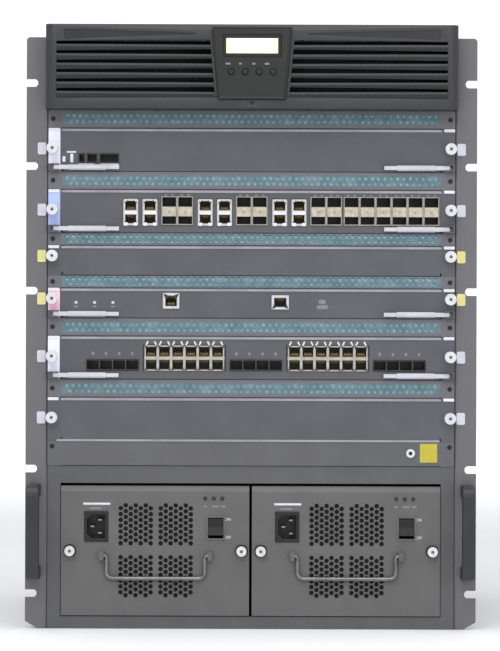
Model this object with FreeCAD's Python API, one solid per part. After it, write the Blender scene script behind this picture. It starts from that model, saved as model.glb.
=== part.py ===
import FreeCAD, Part
import math
import os

from FreeCAD import Vector

# A rack-mounted modular switch chassis: a sheet-metal card cage with six slots, a removable fan
# tray behind a moulded louvred bezel, and two power supplies side by side at the foot.
# Frame: origin at the centre of the base's underside, +X to the right seen from the front,
# +Y to the back, +Z up. All values are millimetres.

# ---------------------------------------------------------------- general sheet and clearances
sheet = 2.0                 # casing, ears
panel_sheet = 1.5           # faceplates, strips, shelves
thin_sheet = 1.2            # fan tray, supply cases
clear = 0.3                 # between pieces that move past each other
fit_clear = 0.1             # radial, pin in bore
seam = 0.3                  # between stacked front panels
small_sides = 10            # sides of screws, pins and their holes
large_sides = 20            # sides of fan rings and openings
wire_sides = 8              # sides of the drop handles' wire
bend_steps = 4              # chords in a quarter bend

# ---------------------------------------------------------------- casing
ear_width = 482.6           # standard rack panel width
ear_height = 633.0
ear_reach = 23.3            # ear beyond the side wall
body_width = ear_width - 2 * ear_reach
body_depth = 440.0
body_height = 645.0
stretch_x = body_width / 436.0       # the front's layout widens with the body
stretch_z = body_height / 645.0      # and grows with its height
rack_unit = 44.45
bend_radius = 2.5
cover_lip = 10.0            # folded edge of the top cover
base_y = -body_depth / 2
back_y = body_depth / 2
wall_x = body_width / 2 - sheet
cover_z = body_height - sheet

# ---------------------------------------------------------------- rack ears
ear_leg = 40.0              # length of the leg along the side wall
notch_height = 8.0
notch_depth = 12.3
notch_corner = 2.2
first_notch = 37.7
notch_steps = (3 * rack_unit, 190.5, 3 * rack_unit, 2 * rack_unit)
ear_top_chamfer = 2.5
ear_foot_chamfer = (14.0, 8.0)
ear_face_y = base_y - sheet

# ---------------------------------------------------------------- carry handles on the ears
grip_width = 14.0
grip_margin = 9.8                    # from the ear's edge to the grip's middle
grip_x = ear_width / 2 - grip_margin
grip_low = 54.6
grip_length = 100.4
grip_reach = 40.0
grip_thick = 13.0
grip_foot = 13.0
grip_outer_radius = 11.0
grip_inner_radius = 5.0

# ---------------------------------------------------------------- front planes
flange_y = base_y - 1.7              # front of the flanges that carry the strips
strip_y = flange_y - panel_sheet
plate_back_y = flange_y - clear
plate_y = plate_back_y - panel_sheet

# ---------------------------------------------------------------- stack of front panels
bay_height = 174.6 * stretch_z       # power-supply bay frame
service_height = 26.1 * stretch_z
plate_heights = {"tall": 46.6 * stretch_z, "short": 32.4 * stretch_z}
strip_heights = {"tall": 18.4 * stretch_z, "short": 12.6 * stretch_z}
slot_kinds = {6: "tall", 5: "tall", 4: "short", 3: "short", 2: "tall", 1: "tall"}
card_slots = (1, 2, 4, 5)
blank_slots = (3, 6)
stack_height = sum(plate_heights[kind] + strip_heights[kind] + 2 * seam for kind in slot_kinds.values())
fan_shelf_z = bay_height + service_height + 2 * seam + stack_height
panel_margin = 0.3                   # panels end this far inside the body's sides
panel_half = body_width / 2 - panel_margin
fold_half = 202.0 * stretch_x        # half width of the folded middle part
fold_depth = 10.0
panel_fold_edge = 1.0
relief_width = 1.2
relief_height = 3.4

# ---------------------------------------------------------------- guides and boards
guide_flange_inner = 203.3 * stretch_x
guide_plate = 1.6
rail_inner = 205.0 * stretch_x
rail_height = 8.0
rail_front = 12.0                    # from the flange back to the rail
board_thick = 1.6
board_offset = 6.2                   # board's underside above the faceplate's lower edge
board_margin = 6.0
board_half = wall_x - board_margin
board_neck_half = 200.0 * stretch_x
board_neck_depth = 14.0
backplane_y = 160.0
backplane_thick = 3.0
backplane_margin = 6.9               # below the fan shelf
backplane_height = fan_shelf_z - backplane_margin
plug_width = 80.0
plug_height = 6.0
plug_reach = 8.0
plug_lap = 4.0
plug_lift = 0.5                      # socket wall above the board
socket_wall = 2.0
socket_depth = 10.0

# ---------------------------------------------------------------- levers and thumbscrews
lever_rise = 4.5                     # lever's centre above the faceplate's lower edge
lever_margin = 6.0                   # from the side wall in to the pivot
lever_length = 68.3
lever_pivot_x = wall_x - lever_margin
lever_pivot_out = 3.3                # pivot in front of the faceplate
lever_tip_x = lever_pivot_x - lever_length
lever_bar = (3.4, 4.2)               # depth, height of the tip bar
lever_root = (5.0, 4.6)
sleeve_span = (54.4, 14.0)           # sleeve's ends, from the pivot in
sleeve_x = (lever_pivot_x - sleeve_span[0], lever_pivot_x - sleeve_span[1])
sleeve = (5.4, 5.8)
sleeve_corner = 1.5
pivot_radius = 1.5
clevis_span = (4.0, 7.2)             # inwards and outwards from the pivot
clevis_x = (lever_pivot_x - clevis_span[0], lever_pivot_x + clevis_span[1])
clevis_reach = 7.3
clevis_plate = 1.2
toe_width = 2.4
toe_height = 3.0
toe_reach = 4.8                      # from the pivot back, just short of the guide rack
toe_window = (203.5 * stretch_x, wall_x - guide_plate / 2)
screw_margin = 3.0                   # from the side wall in to the thumbscrew
screw_x = wall_x - screw_margin
screw_radius = 6.0
screw_reach = 11.0
screw_rise = {"tall": 24.8 * stretch_z, "short": 20.9 * stretch_z}
screw_neck_radius = 4.2
screw_neck = 3.0

# ---------------------------------------------------------------- fan unit
tray_floor_lift = 0.3                # above the fan shelf
tray_margin = 2.5
tray_half = wall_x - tray_margin
tray_depth = 320.0
tray_head = 4.0                      # tray's front wall below the body's top
tray_top = body_height - tray_head
tray_side = 44.0
window_in = 50.0
window_margin = 8.5                  # from the tray's side in to the window
window_rise = (15.1, 11.0)           # above the fan shelf, below the wall's top
fan_x = 95.0 * stretch_x
fan_setback = 110.0
fan_y = base_y + fan_setback
fan_bore = 84.0 * stretch_x
fan_ring = 3.0
fan_height = 38.0
hub_radius = 30.0
hub_height = 24.0
mount_height = 7.0
strut_width = 9.0
strut_height = 3.0
blade_count = 7
blade_gap = 2.5
blade_tip = fan_bore - blade_gap
blade_root = 3.0                     # sunk into the hub
blade_thick = 2.0
blade_pitch = 38.0                   # degrees from level
blade_chord = 30.0
shaft_radius = 4.0
shaft_length = 12.0

# ---------------------------------------------------------------- louvred bezel
bezel_overhang = 1.8
bezel_half = body_width / 2 + bezel_overhang
bezel_low = fan_shelf_z + seam
bezel_wall = 3.0
bezel_proud_middle = 35.0
bezel_proud_end = 28.0
bezel_corner = 11.0
bezel_top_slope = (9.0, 7.0)         # depth and height of the slanted top edge
bezel_back_y = ear_face_y - clear
louvre_low = bezel_low + 19.9 * stretch_z
louvre_pitch = 10.0 * stretch_z
louvre_count = 6
louvre_margin = 11.8
louvre_outer_x = bezel_half - louvre_margin
louvre_gap = 3.4                     # clear distance to the display panel's side
louvre_outer_height = 3.2
louvre_inner_height = 5.4
name_recess_x = (60.0 * stretch_x, 200.0 * stretch_x)
name_recess_height = (1.6, 10.7)
name_recess_z = body_height - 11.0 * stretch_z
name_recess_depth = 1.2
bezel_groove = 1.6                   # shallow line under the louvres
bezel_groove_rise = 11.8
bezel_groove_z = bezel_low + bezel_groove_rise
latch_radius = 2.0
latch_rise = 5.4
latch_depth = 2.0
latch_z = bezel_low + latch_rise

# ---------------------------------------------------------------- display panel
display_margin = (9.8, 3.4)          # from the bezel's lower and upper edges
display_low = bezel_low + display_margin[0]
display_high = body_height - display_margin[1]
display_half = (35.5, 42.4)          # at the lower and the upper edge
display_thick = 4.4
display_seat = 1.2                   # depth of its seat in the bezel
display_rim = 1.6
display_rim_height = 0.8
screen_size = (55.0, 16.0)
screen_drop = 20.3                   # middle of the screen below the panel's upper edge
screen_z = display_high - screen_drop
screen_recess = (62.0, 24.0)
screen_recess_depth = 1.6
glass_thick = 1.0
button_x = (-22.2, -7.4, 7.4, 22.2)
button_z = display_low + 28.8 * stretch_z
button_radius = 3.0
button_proud = 1.4
button_travel = 1.0

# ---------------------------------------------------------------- power supplies
bay_opening_half = 203.4 * stretch_x
bay_low = 13.4
bay_high = 155.8 * stretch_z
supply_gap = 0.5
supply_low = bay_low + 0.8
supply_high = 153.1 * stretch_z
supply_inner = 1.4                   # inner edge from the middle plane
supply_outer = bay_opening_half - supply_gap
supply_middle = (supply_inner + supply_outer) / 2
supply_half = (supply_outer - supply_inner) / 2
supply_plug_z = 60.0 * stretch_z
supply_depth = 372.0
supply_inset = 0.5                   # case's top below the front's
supply_band = (6.0, 4.0)             # height and set-back of the sloped top band
supply_return = 8.0
runner_x = (22.0 * stretch_x, 168.0 * stretch_x)             # inner edges of the floor runners
runner_width = 20.0
runner_foot = 6.0
exhaust_rows = 4
exhaust_step = 14.0 * stretch_z
exhaust_height = 6.0
exhaust_half = 80.0 * stretch_x
exhaust_x = 100.0 * stretch_x
exhaust_low = 88.0 * stretch_z       # behind the supplies
fan_exhaust_rise = 17.1              # above the fan shelf
case_exhaust_half = 70.0 * stretch_x
shelf_z = bay_high + thin_sheet

inlet_x = -62.9 * stretch_x                      # from the supply's middle
inlet_z = 109.5 * stretch_z
inlet_size = (25.6, 32.7)
inlet_cavity = (19.4, 25.4)
inlet_chamfer = 5.0
inlet_depth = 18.0
inlet_flange = 1.6
pin_size = (2.0, 4.0)
pin_length = 14.0
pin_places = ((-4.0, 0.0), (4.0, 7.0), (4.0, -7.0))
inlet_floor = 2.0
rocker_x = 64.9 * stretch_x
rocker_z = 108.2 * stretch_z
rocker_size = (16.5, 22.0)
rocker_bezel = 2.0
rocker_bezel_proud = 1.2
rocker_tilt = 10.0
rocker_dish = 1.8
rocker_reach = 3.6                   # in front of the plate's back
rocker_inset = 2.0                   # key's ends inside the housing
rocker_back = (3.0, 4.0)             # depth and half height of the key's back
rocker_taper = 1.0
rocker_pivot_depth = 3.0             # behind the front plate
rocker_housing = (1.5, 8.0)          # wall and depth
rocker_pin_radius = 1.2
supply_screw_x = (-91.1 * stretch_x, 92.5 * stretch_x)
supply_screw_z = 83.5 * stretch_z
supply_screw_radius = 5.3
supply_screw_reach = 9.0
handle_half = 52.5 * stretch_x
handle_pivot_z = 78.2 * stretch_z
handle_drop = 24.1
handle_radius = 2.25
handle_bend = 6.0
handle_standoff = 0.8
lug_width = 5.0
lug_height = 9.0

hole_pitch = (7.5 * stretch_x, 8.6 * stretch_z)              # across, up
hole_radius = 3.2
hole_columns = 5
hole_rows = 5
hole_sides = 4
middle_shift = 0.7                   # blocks and handle sit this far right of the supply's middle
block_spread = 21.4 * stretch_x                  # from there to the middle of each perforated block
block_low = (37.4 * stretch_z, 92.0 * stretch_z)             # lowest holes of the lower and the upper blocks

# ---------------------------------------------------------------- vent strips
vent_half = 197.0 * stretch_x
vent_count = 8
vent_web = 6.0
vent_margin = 3.6
vent_row_gap = 2.2
strip_screw_margin = 5.1
strip_screw_x = panel_half - strip_screw_margin
service_screw_share = 0.78           # of the service strip's height
strip_screw_radius = 2.4
strip_screw_head = 1.2
jack_x = 170.9 * stretch_x
jack_z = 188.7 * stretch_z
jack_bore = 2.0
jack_flange_radius = 4.8
jack_barrel_radius = 3.4
jack_flange = 2.5
jack_length = 9.0

# ---------------------------------------------------------------- ports
jack_width = 11.4
jack_shoulder = 6.4
jack_height = 8.6
jack_key = 2.2
port_depth = 14.0
port_proud = 0.8
port_gap = 0.2                       # round a port in its cut-out
port_back = 2.0                      # housing behind the mouth
cage_depth = 20.0

# Places across are from the middle; heights are above the faceplate's lower edge.
management_x = (-181.9 * stretch_x, -170.9 * stretch_x, -152.5 * stretch_x)
management_widths = (4.8 * stretch_x, 9.6 * stretch_x, 18.8 * stretch_x)
management_z = (10.4 * stretch_z, 18.2 * stretch_z)
management_rim = 1.0

stacked_first_x = -129.3 * stretch_x
stacked_group_step = 79.7 * stretch_x
stacked_groups = 3
stacked_jack_step = 20.6 * stretch_x
stacked_jack_half = 8.0
stacked_jack_z = (8.2 * stretch_z, 36.8 * stretch_z)
stacked_mouth_z = (10.6 * stretch_z, 25.6 * stretch_z)
cage_step = 17.1 * stretch_x
cage_mouth_half = 6.9 * stretch_x
cage_rows_z = ((9.9 * stretch_z, 18.2 * stretch_z), (28.8 * stretch_z, 38.0 * stretch_z))
cage_stack_z = (8.4 * stretch_z, 39.4 * stretch_z)
cage_row_x = 106.9 * stretch_x
cage_row_count = 6

controller_x = (-85.8 * stretch_x, 31.0 * stretch_x)
controller_half = (8.9, 9.3)
controller_z = ((10.2 * stretch_z, 26.4 * stretch_z), (9.7 * stretch_z, 24.1 * stretch_z))
controller_mouth_z = (13.6 * stretch_z, 12.4 * stretch_z)

mixed_first_x = -169.2 * stretch_x
mixed_group_step = 153.4 * stretch_x
mixed_groups = 3
mixed_cage_step = 14.0 * stretch_x
mixed_cage_count = 4
mixed_cage_half = 6.2 * stretch_x
mixed_cage_mouth_z = (11.0 * stretch_z, 20.0 * stretch_z)
mixed_cage_z = (9.6 * stretch_z, 21.2 * stretch_z)
mixed_jack_lead = 62.3 * stretch_x   # from a group's first cage to its first jack
mixed_jack_step = 14.2 * stretch_x
mixed_jack_count = 6
mixed_jack_margin = 8.6
mixed_jack_z = (9.4 * stretch_z, 36.8 * stretch_z)
mixed_mouth_z = (11.4 * stretch_z, 26.4 * stretch_z)

# ---------------------------------------------------------------- shape helpers


def block(x_range, y_range, z_range):
    """Rectangular solid between two values on each axis."""
    low = Vector(x_range[0], y_range[0], z_range[0])
    return Part.makeBox(x_range[1] - x_range[0], y_range[1] - y_range[0], z_range[1] - z_range[0], low)


def outline(points):
    """Closed wire through points; a pair (through, end) of vectors is an arc to end."""
    edges = []
    here = points[0]
    for step in list(points[1:]) + [points[0]]:
        if isinstance(step, tuple):
            edges.append(Part.Arc(here, step[0], step[1]).toShape())
            here = step[1]
        else:
            edges.append(Part.makeLine(here, step))
            here = step
    return Part.Wire(edges)


def plan(points, low, high):
    """Prism of an outline in X and Y, from low to high in Z."""
    wire = outline([Vector(x, y, low) for x, y in points])
    return Part.Face(wire).extrude(Vector(0, 0, high - low))


def side(points, low, high):
    """Prism of an outline in Y and Z, from low to high in X."""
    wire = outline([Vector(low, y, z) for y, z in points])
    return Part.Face(wire).extrude(Vector(high - low, 0, 0))


def front(points, low, high):
    """Prism of an outline in X and Z, from low to high in Y."""
    wire = outline([Vector(x, low, z) for x, z in points])
    return Part.Face(wire).extrude(Vector(0, high - low, 0))


def rod(radius, start, direction, length, sides=small_sides):
    """Round bar as a regular prism, its corners on the stated radius."""
    side_ways = Vector(0, 0, 1) if abs(direction.z) < 0.5 else Vector(1, 0, 0)
    other = direction.cross(side_ways)
    steps = [2 * math.pi * (i + 0.5) / sides for i in range(sides)]
    points = [start + side_ways * (radius * math.cos(a)) + other * (radius * math.sin(a)) for a in steps]
    return Part.Face(outline(points)).extrude(direction * length)


def bored(radius, start, direction, length, sides=small_sides):
    """Round hole to cut, as a prism whose flats clear the stated radius."""
    return rod(radius / math.cos(math.pi / sides), start, direction, length, sides)


def join(shapes):
    """One solid from shapes that share faces or overlap."""
    first, *rest = shapes
    if not rest:
        return first
    return first.multiFuse(rest).removeSplitter()


def mirrored(shape):
    return shape.mirror(Vector(0, 0, 0), Vector(1, 0, 0))


def pair(shape):
    """The shape and its mirror image across the middle plane."""
    return [shape, mirrored(shape)]


def pierced(outer, holes, low, high):
    """Plate in X and Z with holes, each a list of points, from low to high in Y."""
    wires = [outline([Vector(x, low, z) for x, z in points]) for points in [outer] + holes]
    face = Part.makeFace(wires, "Part::FaceMakerBullseye")
    return face.extrude(Vector(0, high - low, 0))


def rectangle(x_range, z_range):
    (x0, x1), (z0, z1) = x_range, z_range
    return [(x0, z0), (x1, z0), (x1, z1), (x0, z1)]


def polygon(x, z, radius, sides, turn):
    """Corners of a regular polygon, the first at the angle turn in degrees."""
    steps = [math.radians(turn + 360.0 * i / sides) for i in range(sides)]
    return [(x + radius * math.cos(a), z + radius * math.sin(a)) for a in steps]


def edges_along(shape, direction, keep):
    """Straight edges parallel to direction whose middle passes the test keep."""
    found = []
    for edge in shape.Edges:
        if len(edge.Vertexes) != 2:
            continue
        run = edge.Vertexes[1].Point - edge.Vertexes[0].Point
        if run.Length > 0 and abs(abs(run.normalize().dot(direction)) - 1) < 1e-6:
            if keep(edge.CenterOfMass):
                found.append(edge)
    return found


def bend(x, z, radius, start, end):
    """Corners of a quarter bend about a centre, in bend_steps chords."""
    turns = [math.radians(start + (end - start) * i / bend_steps) for i in range(bend_steps + 1)]
    return [(x + radius * math.cos(a), z + radius * math.sin(a)) for a in turns]


def save(name, shape):
    shape.exportStep("parts/" + name + ".step")
    print(name, len(shape.Solids), "solid(s)", round(shape.Volume / 1000, 1), "cm3")


# ---------------------------------------------------------------- the stack of slots


def stacked_slots():
    """Lower edges of each slot's faceplate and of the vent strip above it."""
    places = {}
    level = bay_height + seam + service_height + seam
    for slot in sorted(slot_kinds, reverse=True):
        kind = slot_kinds[slot]
        strip_low = level + plate_heights[kind] + seam
        places[slot] = {"plate": level, "strip": strip_low, "kind": kind}
        level = strip_low + strip_heights[kind] + seam
    return places


slots = stacked_slots()
tray_z = fan_shelf_z + panel_sheet + tray_floor_lift


# ---------------------------------------------------------------- casing


def chassis_body():
    """Base and two side walls folded from one sheet, with hat-section runners on the floor."""
    half = body_width / 2
    cup = [(-half, 0), (half, 0), (half, cover_z), (half - sheet, cover_z), (half - sheet, sheet),
           (-half + sheet, sheet), (-half + sheet, cover_z), (-half, cover_z)]
    shell = front(cup, base_y, back_y)
    bends = edges_along(shell, Vector(0, 1, 0), lambda c: c.z < 0.1)
    shell = shell.makeFillet(bend_radius, bends)
    top = supply_low - clear
    runners = []
    foot = runner_foot
    for inner in runner_x:
        hat = [(inner - foot, sheet), (inner, sheet), (inner, top - panel_sheet),
               (inner + runner_width, top - panel_sheet), (inner + runner_width, sheet),
               (inner + runner_width + foot, sheet), (inner + runner_width + foot, sheet + panel_sheet),
               (inner + runner_width + panel_sheet, sheet + panel_sheet),
               (inner + runner_width + panel_sheet, top), (inner - panel_sheet, top),
               (inner - panel_sheet, sheet + panel_sheet), (inner - foot, sheet + panel_sheet)]
        runners += pair(front(hat, base_y + supply_return, base_y + supply_depth))
    return join([shell] + runners)


def top_cover():
    """Flat lid with a lip folded down inside each side wall."""
    half = body_width / 2
    lid = block((-half, half), (base_y, back_y), (cover_z, body_height))
    lip = block((wall_x - panel_sheet, wall_x), (base_y, back_y - panel_sheet), (cover_z - cover_lip, cover_z))
    return join([lid] + pair(lip))


def rear_panel():
    """Back wall with rows of exhaust slots behind the fans and the supplies."""
    holes = []
    for low in (exhaust_low, fan_shelf_z + fan_exhaust_rise):
        for middle in (-exhaust_x, exhaust_x):
            for row in range(exhaust_rows):
                level = low + row * exhaust_step
                holes.append(rectangle((middle - exhaust_half, middle + exhaust_half),
                                       (level, level + exhaust_height)))
    return pierced(rectangle((-wall_x, wall_x), (sheet, cover_z)), holes, back_y - panel_sheet, back_y)


def fan_shelf():
    """Divider under the fan tray, open below each fan."""
    plate = block((-wall_x, wall_x), (base_y, back_y - panel_sheet), (fan_shelf_z, fan_shelf_z + panel_sheet))
    holes = [rod(fan_bore, Vector(x, fan_y, fan_shelf_z - 1), Vector(0, 0, 1), panel_sheet + 2, large_sides)
             for x in (-fan_x, fan_x)]
    return plate.cut(Part.makeCompound(holes))


def psu_shelf():
    """Divider above the power supplies, from the front to the backplane."""
    return block((-wall_x, wall_x), (base_y, backplane_y), (shelf_z, shelf_z + panel_sheet))


def psu_bay_frame():
    """Front frame round the power supplies, its opening's edges folded in."""
    hole = rectangle((-bay_opening_half, bay_opening_half), (bay_low, bay_high))
    plate = pierced(rectangle((-panel_half, panel_half), (0, bay_height)), [hole], flange_y, base_y)
    fold = block((-bay_opening_half, bay_opening_half), (base_y, base_y + fold_depth), (bay_high, shelf_z))
    return join([plate, fold])


def ear_notches():
    """Open rack notches down the right ear's outer edge, as solids to cut."""
    levels = [first_notch]
    for step in notch_steps:
        levels.append(levels[-1] + step)
    inner = ear_width / 2 - notch_depth
    cuts = []
    for level in levels:
        notch = block((inner, ear_width / 2 + 1), (ear_face_y - 1, base_y + 1),
                      (level - notch_height / 2, level + notch_height / 2))
        corners = edges_along(notch, Vector(0, 1, 0), lambda c, x=inner: abs(c.x - x) < 0.1)
        cuts.append(notch.makeChamfer(notch_corner, corners))
    return Part.makeCompound(cuts)


def rack_ear():
    """Right-hand mounting bracket: a leg along the side wall bent out into the notched ear."""
    half = body_width / 2
    edge = ear_width / 2
    angle = [(half, base_y + ear_leg), (half, ear_face_y), (edge, ear_face_y), (edge, base_y),
             (half + sheet, base_y), (half + sheet, base_y + ear_leg)]
    ear = plan(angle, 0, ear_height)
    bend = edges_along(ear, Vector(0, 0, 1), lambda c: abs(c.x - half) < 0.1 and abs(c.y - ear_face_y) < 0.1)
    ear = ear.makeFillet(bend_radius, bend)
    across, up = ear_foot_chamfer
    foot = front([(edge - across, -1), (edge + 1, -1), (edge + 1, up), (edge, up), (edge - across, 0)],
                 ear_face_y - 1, base_y + 1)
    trim = ear_top_chamfer
    head = front([(edge - trim, ear_height), (edge + 1, ear_height - trim - 1), (edge + 1, ear_height + 1),
                  (edge - trim, ear_height + 1)], ear_face_y - 1, base_y + 1)
    return ear.cut(Part.makeCompound([ear_notches(), foot, head]))


def carry_handle():
    """Right-hand moulded grip bridging two feet on the ear."""
    low, high = grip_low, grip_low + grip_length
    tip = ear_face_y - grip_reach
    deep = tip + grip_thick
    outer, inner = grip_outer_radius, grip_inner_radius
    profile = [(ear_face_y, low)] + bend(tip + outer, low + outer, outer, 270.0, 180.0)
    profile += bend(tip + outer, high - outer, outer, 180.0, 90.0) + [(ear_face_y, high)]
    profile += [(ear_face_y, high - grip_foot)]
    profile += bend(deep + inner, high - grip_foot - inner, inner, 90.0, 180.0)
    profile += bend(deep + inner, low + grip_foot + inner, inner, 180.0, 270.0)
    profile += [(ear_face_y, low + grip_foot)]
    return side(profile, grip_x - grip_width / 2, grip_x + grip_width / 2)


# ---------------------------------------------------------------- card cage


def board_low(slot):
    return slots[slot]["plate"] + board_offset


def lever_z(slot):
    return slots[slot]["plate"] + lever_rise


def guide_rack():
    """Right-hand side plate with flanges at both ends and a grooved rail for each slot."""
    low, high = bay_height, fan_shelf_z
    flange_back = base_y
    plate_x = wall_x - guide_plate
    plate = block((plate_x, wall_x), (base_y, backplane_y), (low, high))
    flange = block((guide_flange_inner, wall_x), (flange_y, flange_back), (low, high))
    windows = []
    for slot in card_slots:
        levels = (board_low(slot) - 2 * clear, board_low(slot) + board_thick + 2 * clear)
        windows.append(block((guide_flange_inner - 1, toe_window[1]), (flange_y - 1, flange_back + 1), levels))
    flange = flange.cut(Part.makeCompound(windows))
    rear = block((guide_flange_inner, plate_x), (backplane_y - guide_plate, backplane_y), (low, backplane_height))
    rails = []
    for slot in slots:
        middle = board_low(slot) + board_thick / 2
        rail = [(rail_inner, middle - rail_height / 2), (plate_x, middle - rail_height / 2),
                (plate_x, middle + rail_height / 2), (rail_inner, middle + rail_height / 2),
                (rail_inner, middle + board_thick / 2 + clear),
                (board_half + clear, middle + board_thick / 2 + clear),
                (board_half + clear, middle - board_thick / 2 - clear),
                (rail_inner, middle - board_thick / 2 - clear)]
        rails.append(front(rail, flange_y + rail_front, backplane_y - guide_plate))
    return join([plate, flange, rear] + rails)


def socket_level(slot):
    """Underside of the plug and the socket's cavity for a slot."""
    return board_low(slot) + board_thick + socket_wall + plug_lift


def backplane():
    """Circuit panel across the rear of the cage with a socket shell for every card and supply."""
    panel = block((-tray_half, tray_half), (backplane_y, backplane_y + backplane_thick), (sheet, backplane_height))
    places = [(0.0, socket_level(slot)) for slot in slots]
    places += [(side_sign * supply_middle, supply_plug_z) for side_sign in (-1, 1)]
    half = plug_width / 2 + clear
    shells = []
    for x, low in places:
        inner = rectangle((x - half, x + half), (low - clear, low + plug_height + clear))
        outer = rectangle((x - half - socket_wall, x + half + socket_wall),
                          (low - clear - socket_wall, low + plug_height + clear + socket_wall))
        shells.append(pierced(outer, [inner], backplane_y - socket_depth, backplane_y))
    return join([panel] + shells)


def vent_strip(slot):
    """Perforated strip above a slot, with two rows of staggered slots."""
    low = slots[slot]["strip"]
    high = low + strip_heights[slots[slot]["kind"]]
    hole_height = (high - low - 2 * vent_margin - vent_row_gap) / 2
    step = 2 * vent_half / vent_count
    holes = []
    for row in range(2):
        shift = row * step / 2
        level = low + vent_margin + row * (hole_height + vent_row_gap)
        for i in range(vent_count - row):
            left = -vent_half + shift + i * step + vent_web / 2
            holes.append(rectangle((left, left + step - vent_web), (level, level + hole_height)))
    plate = rectangle((-panel_half, panel_half), (low, high))
    return pierced(plate, holes, strip_y, flange_y)


def service_strip():
    """Plain strip above the bay frame with a hole for the grounding jack."""
    low = bay_height + seam
    plate = block((-panel_half, panel_half), (strip_y, flange_y), (low, low + service_height))
    hole = bored(jack_barrel_radius + fit_clear, Vector(jack_x, strip_y - 1, jack_z), Vector(0, 1, 0), 5)
    return plate.cut(hole)


def ground_jack():
    """Flanged socket for a wrist strap's plug, blind from the front."""
    face = strip_y - jack_flange
    flange = rod(jack_flange_radius, Vector(jack_x, face, jack_z), Vector(0, 1, 0), jack_flange)
    barrel = rod(jack_barrel_radius, Vector(jack_x, strip_y, jack_z), Vector(0, 1, 0), jack_length)
    bore = Part.makeCylinder(jack_bore, jack_length + 1, Vector(jack_x, face - 1, jack_z), Vector(0, 1, 0))
    return join([flange, barrel]).cut(bore)


def panel_screws():
    """Cheese-head screws that hold the strips to the guide racks, one at each end."""
    levels = [bay_height + seam + service_height * service_screw_share]
    for slot in slots:
        levels.append(slots[slot]["strip"] + strip_heights[slots[slot]["kind"]] / 2)
    heads = []
    for level in levels:
        start = Vector(strip_screw_x, strip_y - strip_screw_head, level)
        heads += pair(rod(strip_screw_radius, start, Vector(0, 1, 0), strip_screw_head))
    return Part.makeCompound(heads)


# ---------------------------------------------------------------- fan unit


def fan_tray():
    """Sheet tray with a windowed front wall and both fans' rings, struts and motor mounts."""
    front_y = bezel_back_y
    floor_top = tray_z + thin_sheet
    floor = block((-tray_half, tray_half), (front_y, front_y + tray_depth), (tray_z, floor_top))
    hoop = []
    for x in (-fan_x, fan_x):
        hoop.append(rod(fan_bore, Vector(x, fan_y, tray_z - 1), Vector(0, 0, 1), thin_sheet + 2, large_sides))
    floor = floor.cut(Part.makeCompound(hoop))
    window_out = tray_half - window_margin
    window_low, window_high = fan_shelf_z + window_rise[0], tray_top - window_rise[1]
    windows = [rectangle((window_in, window_out), (window_low, window_high)),
               rectangle((-window_out, -window_in), (window_low, window_high))]
    wall = pierced(rectangle((-tray_half, tray_half), (tray_z, tray_top)), windows, front_y, front_y + panel_sheet)
    cheek = block((tray_half - thin_sheet, tray_half), (front_y, front_y + tray_depth), (tray_z, tray_z + tray_side))
    pieces = [floor, wall] + pair(cheek)
    for x in (-fan_x, fan_x):
        pieces += fan_frame(x, floor_top)
    return join(pieces)


def fan_frame(x, level):
    """Ring, four struts and the motor mount with its shaft, for one fan."""
    centre = Vector(x, fan_y, level)
    up = Vector(0, 0, 1)
    ring = rod(fan_bore + fan_ring, centre, up, fan_height, large_sides)
    ring = ring.cut(rod(fan_bore, centre, up, fan_height, large_sides))
    half = strut_width / 2
    reach = fan_bore + fan_ring / 2
    struts = [block((x - reach, x + reach), (fan_y - half, fan_y + half), (level - thin_sheet, level + strut_height)),
              block((x - half, x + half), (fan_y - reach, fan_y + reach), (level - thin_sheet, level + strut_height))]
    mount = rod(hub_radius, Vector(x, fan_y, level - thin_sheet), up, mount_height + thin_sheet)
    shaft = rod(shaft_radius, Vector(x, fan_y, level + mount_height), up, shaft_length)
    return [ring] + struts + [mount, shaft]


def fan_rotor(x):
    """Hub with tilted blades, bored for the motor shaft."""
    level = tray_z + thin_sheet + mount_height + clear
    up = Vector(0, 0, 1)
    hub = rod(hub_radius, Vector(x, fan_y, level), up, hub_height)
    blade_mid = level + hub_height / 2
    blades = []
    for i in range(blade_count):
        blade = block((hub_radius - blade_root, blade_tip), (-blade_thick / 2, blade_thick / 2),
                      (-blade_chord / 2, blade_chord / 2))
        blade.rotate(Vector(0, 0, 0), Vector(1, 0, 0), 90.0 - blade_pitch)
        blade.rotate(Vector(0, 0, 0), up, 360.0 * i / blade_count)
        blade.translate(Vector(x, fan_y, blade_mid))
        blades.append(blade)
    bore = bored(shaft_radius + fit_clear, Vector(x, fan_y, level - 1), up, shaft_length + 1)
    return join([hub] + blades).cut(bore)


# ---------------------------------------------------------------- louvred bezel


def bowed(inset, proud_inset, back_y, low, high):
    """Prism with a bowed front and rounded ends, set in from the bezel's outline."""
    half = bezel_half - inset
    middle_y = bezel_back_y - bezel_proud_middle + proud_inset
    end_y = bezel_back_y - bezel_proud_end + proud_inset
    corner = bezel_corner - inset
    turn_x = half - corner
    turn_y = end_y + corner
    lean = corner * math.sqrt(0.5)
    points = [Vector(half, back_y, low), Vector(half, turn_y, low),
              (Vector(turn_x + lean, turn_y - lean, low), Vector(turn_x, end_y, low)),
              (Vector(0, middle_y, low), Vector(-turn_x, end_y, low)),
              (Vector(-turn_x - lean, turn_y - lean, low), Vector(-half, turn_y, low)),
              Vector(-half, back_y, low)]
    return Part.Face(outline(points)).extrude(Vector(0, 0, high - low))


def display_sides(grow):
    """Outline of the display panel in X and Z, grown on every side."""
    low_half, high_half = display_half
    slope = (high_half - low_half) / (display_high - display_low)
    return [(-low_half - grow + slope * grow, display_low - grow), (low_half + grow - slope * grow, display_low - grow),
            (high_half + grow + slope * grow, display_high + grow), (-high_half - grow - slope * grow, display_high + grow)]


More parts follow.
